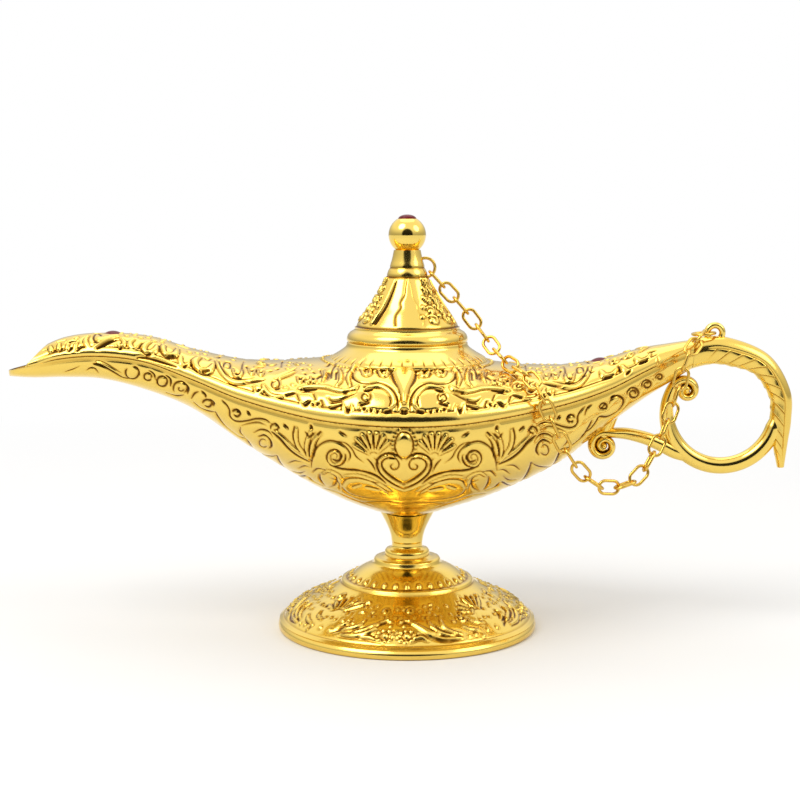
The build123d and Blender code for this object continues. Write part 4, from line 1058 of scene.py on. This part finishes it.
bm = spun(finely(profile, 0.5) + cone + finely(cavity, 1.2), 420)
carve(bm, lidHeight)
finishMesh("lid_casting", bm, "lid_set", ["lid"], goldCast)
ball = {"radius": 4.9, "z": 104.4, "flat": 2.45, "peg": 1.1, "pegLow": 94.6}
a0, a1 = math.asin(ball["flat"] / ball["radius"]), math.pi - math.asin(ball["peg"] / ball["radius"])
ballLine = [(ball["radius"] * math.sin(a), ball["z"] + ball["radius"] * math.cos(a))
            for a in np.linspace(a0, a1, 60)]
bm = spun([(0, ballLine[0][1])] + ballLine + [(ball["peg"], ball["pegLow"]), (0, ball["pegLow"])], 128)
finishMesh("finial_ball_turned", bm, "lid_set", ["finial_ball"], goldBuffed)

print("handle leaf")
leafSizes = {"centreX": 83.25, "centreZ": 58.0, "ring": 14.6, "depth": 7.5, "halfWidth": 3.1, "root": 0.94,
             "along": 360, "round": 150, "veins": 13, "veinDepth": 0.22, "edge": 1.35}
leafShares = [
    (104.5, 1.137, 4.0, 1.00, 1.00), (85.5, 1.086, -4.0, 0.99, 1.00), (50.7, 1.096, -40.0, 0.86, 0.95),
    (17.6, 1.089, -73.0, 0.78, 0.90), (-7.3, 1.082, -93.0, 0.75, 0.82), (-27.0, 1.205, -92.0, 0.56, 0.70),
    (-43.1, 1.504, -86.0, 0.24, 0.42),
]
tail = stations[-1]
knots = [(tail[0], tail[2] + (tail[3] - tail[4]) / 2, 0.0, (tail[3] + tail[4]) / 2,
          tail[1] * leafSizes["root"])]
for angle, away, lean, deep, wide in leafShares:
    a = math.radians(angle)
    knots.append((leafSizes["centreX"] + leafSizes["ring"] * away * math.cos(a),
                  leafSizes["centreZ"] + leafSizes["ring"] * away * math.sin(a), lean,
                  leafSizes["depth"] * deep / 2, leafSizes["halfWidth"] * wide))
line = np.array(curved(knots, leafSizes["along"] // (len(knots) - 1)))
steps = np.concatenate([[0], np.cumsum(np.hypot(np.diff(line[:, 0]), np.diff(line[:, 1])))])
around = np.linspace(0, 2 * math.pi, leafSizes["round"] + 1)
u = (steps / steps[-1])[None, :]
fromRidge = np.abs(((around - math.pi / 2 + math.pi) % (2 * math.pi)) - math.pi)[:, None]
lean = np.radians(line[:, 2])[None, :]
wide = line[:, 4][None, :] * np.cos(around)[:, None]
deep = line[:, 3][None, :] * np.sin(around)[:, None]
# smooth outside; a cut line, then slanting blades on the inner part of both cheeks
phase = leafSizes["veins"] * u * (1 + 0.1 * u) + 0.95 * fromRidge
fold = (phase % 1.0) ** 1.7 - 0.5
ends = np.clip((u - 0.07) / 0.05, 0, 1) * np.clip((0.97 - u) / 0.1, 0, 1)
cheek = np.clip((fromRidge - leafSizes["edge"]) / 0.16, 0, 1) * ends
cutLine = np.exp(-(((fromRidge - leafSizes["edge"]) / 0.07) ** 2)) * ends
carved = leafSizes["veinDepth"] * (fold - 0.25) * cheek - 0.35 * cutLine
grow = 1 + carved / np.maximum(np.hypot(line[:, 3], line[:, 4])[None, :] / 1.4, 1.0)
alongX = line[:, 0][None, :] - np.sin(lean) * deep * grow
upZ = line[:, 1][None, :] + np.cos(lean) * deep * grow
# painted shade at the foot of each blade and along the cut line
tint = np.clip(0.12 + 0.55 * cheek * np.exp(-(((phase % 1.0) / 0.16) ** 2)) + 0.3 * cutLine, 0, 1)
bm = sheet(np.stack([alongX, wide * grow + 0 * u, upZ], -1), tint + 0 * alongX)
finishMesh("handle_leaf_casting", bm, "lamp", ["handle_leaf"], goldCast)

print("handle rod and scroll")
rodSizes = {"radius": 2.2, "start": 8.0, "end": -207.0, "curl": (73.7, 63.4), "curlIn": 0.5, "turns": 1.35,
            "curlWide": 2.1, "thin": 0.95, "eye": (0.95, 2.3)}


def tube(name, path, radii, deep, node, material):
    # a bar in the middle plane; radii in the plane, deep across it; a flat one gets painted shade along its
    # edges
    p, r, w = np.array(path, float), np.array(radii, float), np.array(deep, float)
    d = np.gradient(p, axis=0)
    d /= np.linalg.norm(d, axis=1, keepdims=True)
    a = np.linspace(0, 2 * math.pi, 41)[:, None]
    x = p[:, 0][None, :] - d[:, 1][None, :] * r[None, :] * np.cos(a)
    z = p[:, 1][None, :] + d[:, 0][None, :] * r[None, :] * np.cos(a)
    y = w[None, :] * np.sin(a)
    flat = np.clip((w / r - 1.25) / 0.5, 0, 1)[None, :]
    # painted shade where the flat bar's face turns away to its edges
    shade = 0.05 + 0.5 * np.exp(-(((np.abs(np.cos(a)) - 0.86) / 0.12) ** 2)) * flat
    finishMesh(name, sheet(np.stack([x, y, z], -1), shade + 0 * x), "lamp", [node], material)


def knob(name, x, z, radius, deep, node):
    # the round eye that a curl ends in
    bm = bmesh.new()
    bmesh.ops.create_uvsphere(bm, u_segments=40, v_segments=24, radius=1.0)
    for v in bm.verts:
        v.co = ((x + v.co.x * radius) * mm, v.co.y * deep * mm, (z + v.co.z * radius) * mm)
    finishMesh(name, bm, "lamp", [node], goldBuffed)


ringX, ringZ, ringR = leafSizes["centreX"], leafSizes["centreZ"], leafSizes["ring"]
path, radii, deep = [], [], []
for t in np.linspace(0, 1, 150):
    a = math.radians(rodSizes["start"] + (rodSizes["end"] - rodSizes["start"]) * t)
    path.append((ringX + ringR * math.cos(a), ringZ + ringR * math.sin(a)))
    thin = min(max((t - 0.72) / 0.28, 0), 1) ** 1.5
    point = min(1, 0.02 + (t / 0.12) ** 0.7)
    radii.append(rodSizes["radius"] * (1 - 0.42 * thin) * point)
    deep.append(rodSizes["radius"] * (1 - 0.1 * thin) * point)
cx, cz = rodSizes["curl"]
begin = math.atan2(path[-1][1] - cz, path[-1][0] - cx)
gap = math.hypot(path[-1][1] - cz, path[-1][0] - cx)
for t in np.linspace(0.03, 1, 90):
    a, r = begin - 2 * math.pi * rodSizes["turns"] * t, gap + (rodSizes["curlIn"] - gap) * t ** 0.75
    path.append((cx + r * math.cos(a), cz + r * math.sin(a)))
    radii.append(rodSizes["radius"] * 0.58 + (rodSizes["thin"] - rodSizes["radius"] * 0.58) * min(1, t * 2.2))
    deep.append(rodSizes["curlWide"] * (1 - 0.2 * t))
tube("handle_ring_rod", path, radii, deep, "handle_rod", goldBuffed)
knob("handle_curl_eye", cx, cz, *rodSizes["eye"], "handle_rod")

scrollSizes = {"centre": (52.1, 48.8), "outer": 3.25, "inner": 0.6, "turns": 1.6, "bar": 1.15, "wide": 2.0,
               "arm": 1.95, "boss": (2.3, 58.0, 2.0), "eye": (1.0, 2.3)}
armLine = curved([(74.4, 46.3), (71.0, 47.2), (67.4, 49.0), (63.4, 50.7), (58.6, 51.9), (54.9, 52.2)], 14)
cx, cz = scrollSizes["centre"]
path, radii, deep = list(armLine), [], []
for i in range(len(armLine)):
    t = i / (len(armLine) - 1)
    radii.append(scrollSizes["arm"] * (1 - 0.3 * t ** 2))
    deep.append(scrollSizes["arm"] * (1 + 0.3 * t ** 2))
for t in np.linspace(0.02, 1, 110):
    a = math.radians(78) + 2 * math.pi * scrollSizes["turns"] * t
    r = scrollSizes["outer"] + 0.3 * (1 - t) + (scrollSizes["inner"] - scrollSizes["outer"]) * t ** 1.1
    path.append((cx + r * math.cos(a), cz + r * math.sin(a)))
    radii.append(scrollSizes["bar"] * (1 - 0.25 * t))
    deep.append(scrollSizes["wide"])
tube("handle_scroll_bar", path, radii, deep, "handle_scroll", goldCast)
knob("handle_scroll_eye", cx, cz, *scrollSizes["eye"], "handle_scroll")
bx, bz, br = scrollSizes["boss"]
bossLine = curved([(cx - 0.4, cz + 2.4), (cx + 0.6, cz + 4.4), (cx + bx, bz)], 12)
tube("handle_scroll_boss", bossLine, np.linspace(1.5, br, len(bossLine)), np.linspace(1.7, br, len(bossLine)),
     "handle_scroll", goldCast)

print("eye for the chain")
eyeSizes = {"x": 80.95, "z": 78.75, "ring": 2.0, "bar": 0.85, "foot": (3.4, 0.85, 1.6), "drop": 2.6}
bm = bmesh.new()
made = bmesh.ops.create_circle(bm, segments=28, radius=eyeSizes["bar"] * mm)
centre = (eyeSizes["x"] * mm, 0, eyeSizes["z"] * mm)
bmesh.ops.translate(bm, verts=made["verts"], vec=(centre[0] + eyeSizes["ring"] * mm, 0, centre[2]))
bmesh.ops.spin(bm, geom=bm.verts[:] + bm.edges[:], cent=centre, axis=(0, 1, 0), angle=2 * math.pi, steps=60,
               use_merge=True)
# the low oval foot under the ring
made = bmesh.ops.create_uvsphere(bm, u_segments=40, v_segments=20, radius=mm)
for v in made["verts"]:
    v.co = (v.co.x * eyeSizes["foot"][0] + centre[0], v.co.y * eyeSizes["foot"][1],
            v.co.z * eyeSizes["foot"][2] + centre[2] - eyeSizes["drop"] * mm)
finishMesh("chain_eye_cast", bm, "lamp", ["chain_lug"], goldBuffed)

print("stones")
gemSizes = {"radius": 2.42, "seat": 108.5, "sunk": 0.6, "top": 109.72}
dome = [(gemSizes["radius"] * math.sin(a),
         gemSizes["seat"] + (gemSizes["top"] - gemSizes["seat"]) * math.cos(a))
        for a in np.linspace(0, math.pi / 2, 16)]
low = gemSizes["seat"] - gemSizes["sunk"]
bm = spun(dome + [(gemSizes["radius"], low), (0, low)], 64)
finishMesh("lid_stone", bm, "lid_set", ["lid_gem"], garnetGlass)

print("materials of the CAD pieces")
for name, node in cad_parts.items():
    if name.endswith("_gem"):
        finish = garnetGlass
    elif name in ("tie_bolt", "tie_nut", "head_washer", "nut_washer"):
        finish = zincSteel
    elif name.startswith("chain_link") or name.endswith("_ring"):
        finish = goldWire
    elif name in ("stem", "handle_rod"):
        finish = goldBuffed
    else:
        finish = goldCast
    node.data.materials.clear()
    node.data.materials.append(finish)

print("floor, light and camera")
stage = {"floorSize": 3.0, "floorColour": "#F1F0EE", "floorDull": 0.7, "near": 0.16, "clear": 0.45,
         "key": 6.5, "fill": 2.2, "world": 0.6, "aim": (0, 0, 0.05)}
bm = bmesh.new()
bmesh.ops.create_grid(bm, x_segments=1, y_segments=1, size=stage["floorSize"])
mesh = bpy.data.meshes.new("floor")
bm.to_mesh(mesh)
bm.free()
floor = bpy.data.objects.new("floor", mesh)
bpy.context.scene.collection.objects.link(floor)
# painted board: matt and white, and pure white to the camera away from the lamp
made, tree = newMaterial("painted_board")
coords = add(tree, "ShaderNodeTexCoord")
distance = add(tree, "ShaderNodeVectorMath", {"operation": "LENGTH"}, links={0: coords.outputs["Object"]})
far = add(tree, "ShaderNodeMapRange", values={"From Min": stage["near"], "From Max": stage["clear"]},
          links={"Value": distance.outputs["Value"]})
path = add(tree, "ShaderNodeLightPath")
mirrored = add(tree, "ShaderNodeMath", {"operation": "ADD"},
               links={0: path.outputs["Is Glossy Ray"], 1: path.outputs["Is Transmission Ray"]})
looked = add(tree, "ShaderNodeMath", {"operation": "ADD", "use_clamp": True},
             links={0: path.outputs["Is Camera Ray"], 1: mirrored.outputs[0]})
seen = add(tree, "ShaderNodeMath", {"operation": "MULTIPLY"}, links={0: far.outputs[0], 1: looked.outputs[0]})
matt = add(tree, "ShaderNodeBsdfPrincipled",
           values={"Base Color": linear(stage["floorColour"]), "Roughness": stage["floorDull"]})
white = add(tree, "ShaderNodeEmission", values={"Color": (1, 1, 1, 1), "Strength": 1.0})
mixed = add(tree, "ShaderNodeMixShader", links={0: seen.outputs[0], 1: matt.outputs[0], 2: white.outputs[0]})
add(tree, "ShaderNodeOutputMaterial", links={"Surface": mixed.outputs[0]})
mesh.materials.append(made)

# a white room that is dark only behind the camera, as a photographer's side of the studio is
studio = {"behind": (0.0, -0.995, 0.1), "darkInside": 0.87, "clearOutside": 0.79, "dark": 0.03,
          "horizon": 0.5, "overhead": 1.12, "overheadFrom": 0.55}
world = bpy.data.worlds.new("studio")
bpy.context.scene.world = world
world.use_nodes = True
tree = world.node_tree
tree.nodes.clear()
coords = add(tree, "ShaderNodeTexCoord")
towards = add(tree, "ShaderNodeVectorMath", {"operation": "DOT_PRODUCT"}, {1: studio["behind"]},
              {0: coords.outputs["Generated"]})
dark = add(tree, "ShaderNodeMapRange", {"interpolation_type": "SMOOTHSTEP"},
           {"From Min": studio["clearOutside"], "From Max": studio["darkInside"], "To Min": 1.0,
            "To Max": studio["dark"]}, {"Value": towards.outputs["Value"]})
axes = add(tree, "ShaderNodeSeparateXYZ", links={0: coords.outputs["Generated"]})
sky = add(tree, "ShaderNodeMapRange", {"interpolation_type": "SMOOTHSTEP"},
          {"From Min": 0.0, "From Max": studio["overheadFrom"], "To Min": studio["horizon"],
           "To Max": studio["overhead"]}, {"Value": axes.outputs["Z"]})
room = add(tree, "ShaderNodeMath", {"operation": "MULTIPLY"}, links={0: dark.outputs[0], 1: sky.outputs[0]})
path = add(tree, "ShaderNodeLightPath")
soft = add(tree, "ShaderNodeMath", {"operation": "MULTIPLY"}, {1: stage["world"]},
           {0: path.outputs["Is Diffuse Ray"]})
glossy = add(tree, "ShaderNodeMath", {"operation": "MULTIPLY"},
             links={0: path.outputs["Is Glossy Ray"], 1: room.outputs[0]})
direct = add(tree, "ShaderNodeMath", {"operation": "MAXIMUM"},
             links={0: path.outputs["Is Camera Ray"], 1: path.outputs["Is Transmission Ray"]})
lit = add(tree, "ShaderNodeMath", {"operation": "ADD"}, links={0: soft.outputs[0], 1: glossy.outputs[0]})
total = add(tree, "ShaderNodeMath", {"operation": "ADD"}, links={0: lit.outputs[0], 1: direct.outputs[0]})
light = add(tree, "ShaderNodeBackground", values={"Color": (1, 1, 1, 1)},
            links={"Strength": total.outputs[0]})
add(tree, "ShaderNodeOutputWorld", links={"Surface": light.outputs[0]})


def areaLamp(name, place, size, power):
    lamp = bpy.data.lights.new(name, "AREA")
    lamp.shape, lamp.size, lamp.energy = "DISK", size, power
    holder = bpy.data.objects.new(name, lamp)
    bpy.context.scene.collection.objects.link(holder)
    d = np.array(stage["aim"]) - np.array(place)
    holder.location = place
    holder.rotation_euler = (math.atan2(math.hypot(d[0], d[1]), -d[2]), 0,
                             math.atan2(d[1], d[0]) - math.pi / 2)


areaLamp("key_softbox", (-0.55, -0.45, 0.95), 0.7, stage["key"])
areaLamp("fill_softbox", (0.8, -0.3, 0.7), 0.6, stage["fill"])
areaLamp("top_softbox", (0.0, 0.35, 1.0), 0.9, stage["fill"])

eye = bpy.data.cameras.new("camera")
eye.lens, eye.sensor_width, eye.sensor_fit = camera["lens"], camera["sensor"], "HORIZONTAL"
eye.clip_start = 0.01
holder = bpy.data.objects.new("camera", eye)
holder.location = [v * mm for v in camera["place"]]
holder.rotation_euler = (math.radians(90 - camera["pitch"]), 0, 0)
bpy.context.scene.collection.objects.link(holder)
bpy.context.scene.camera = holder
bpy.context.scene.view_settings.view_transform = "Standard"
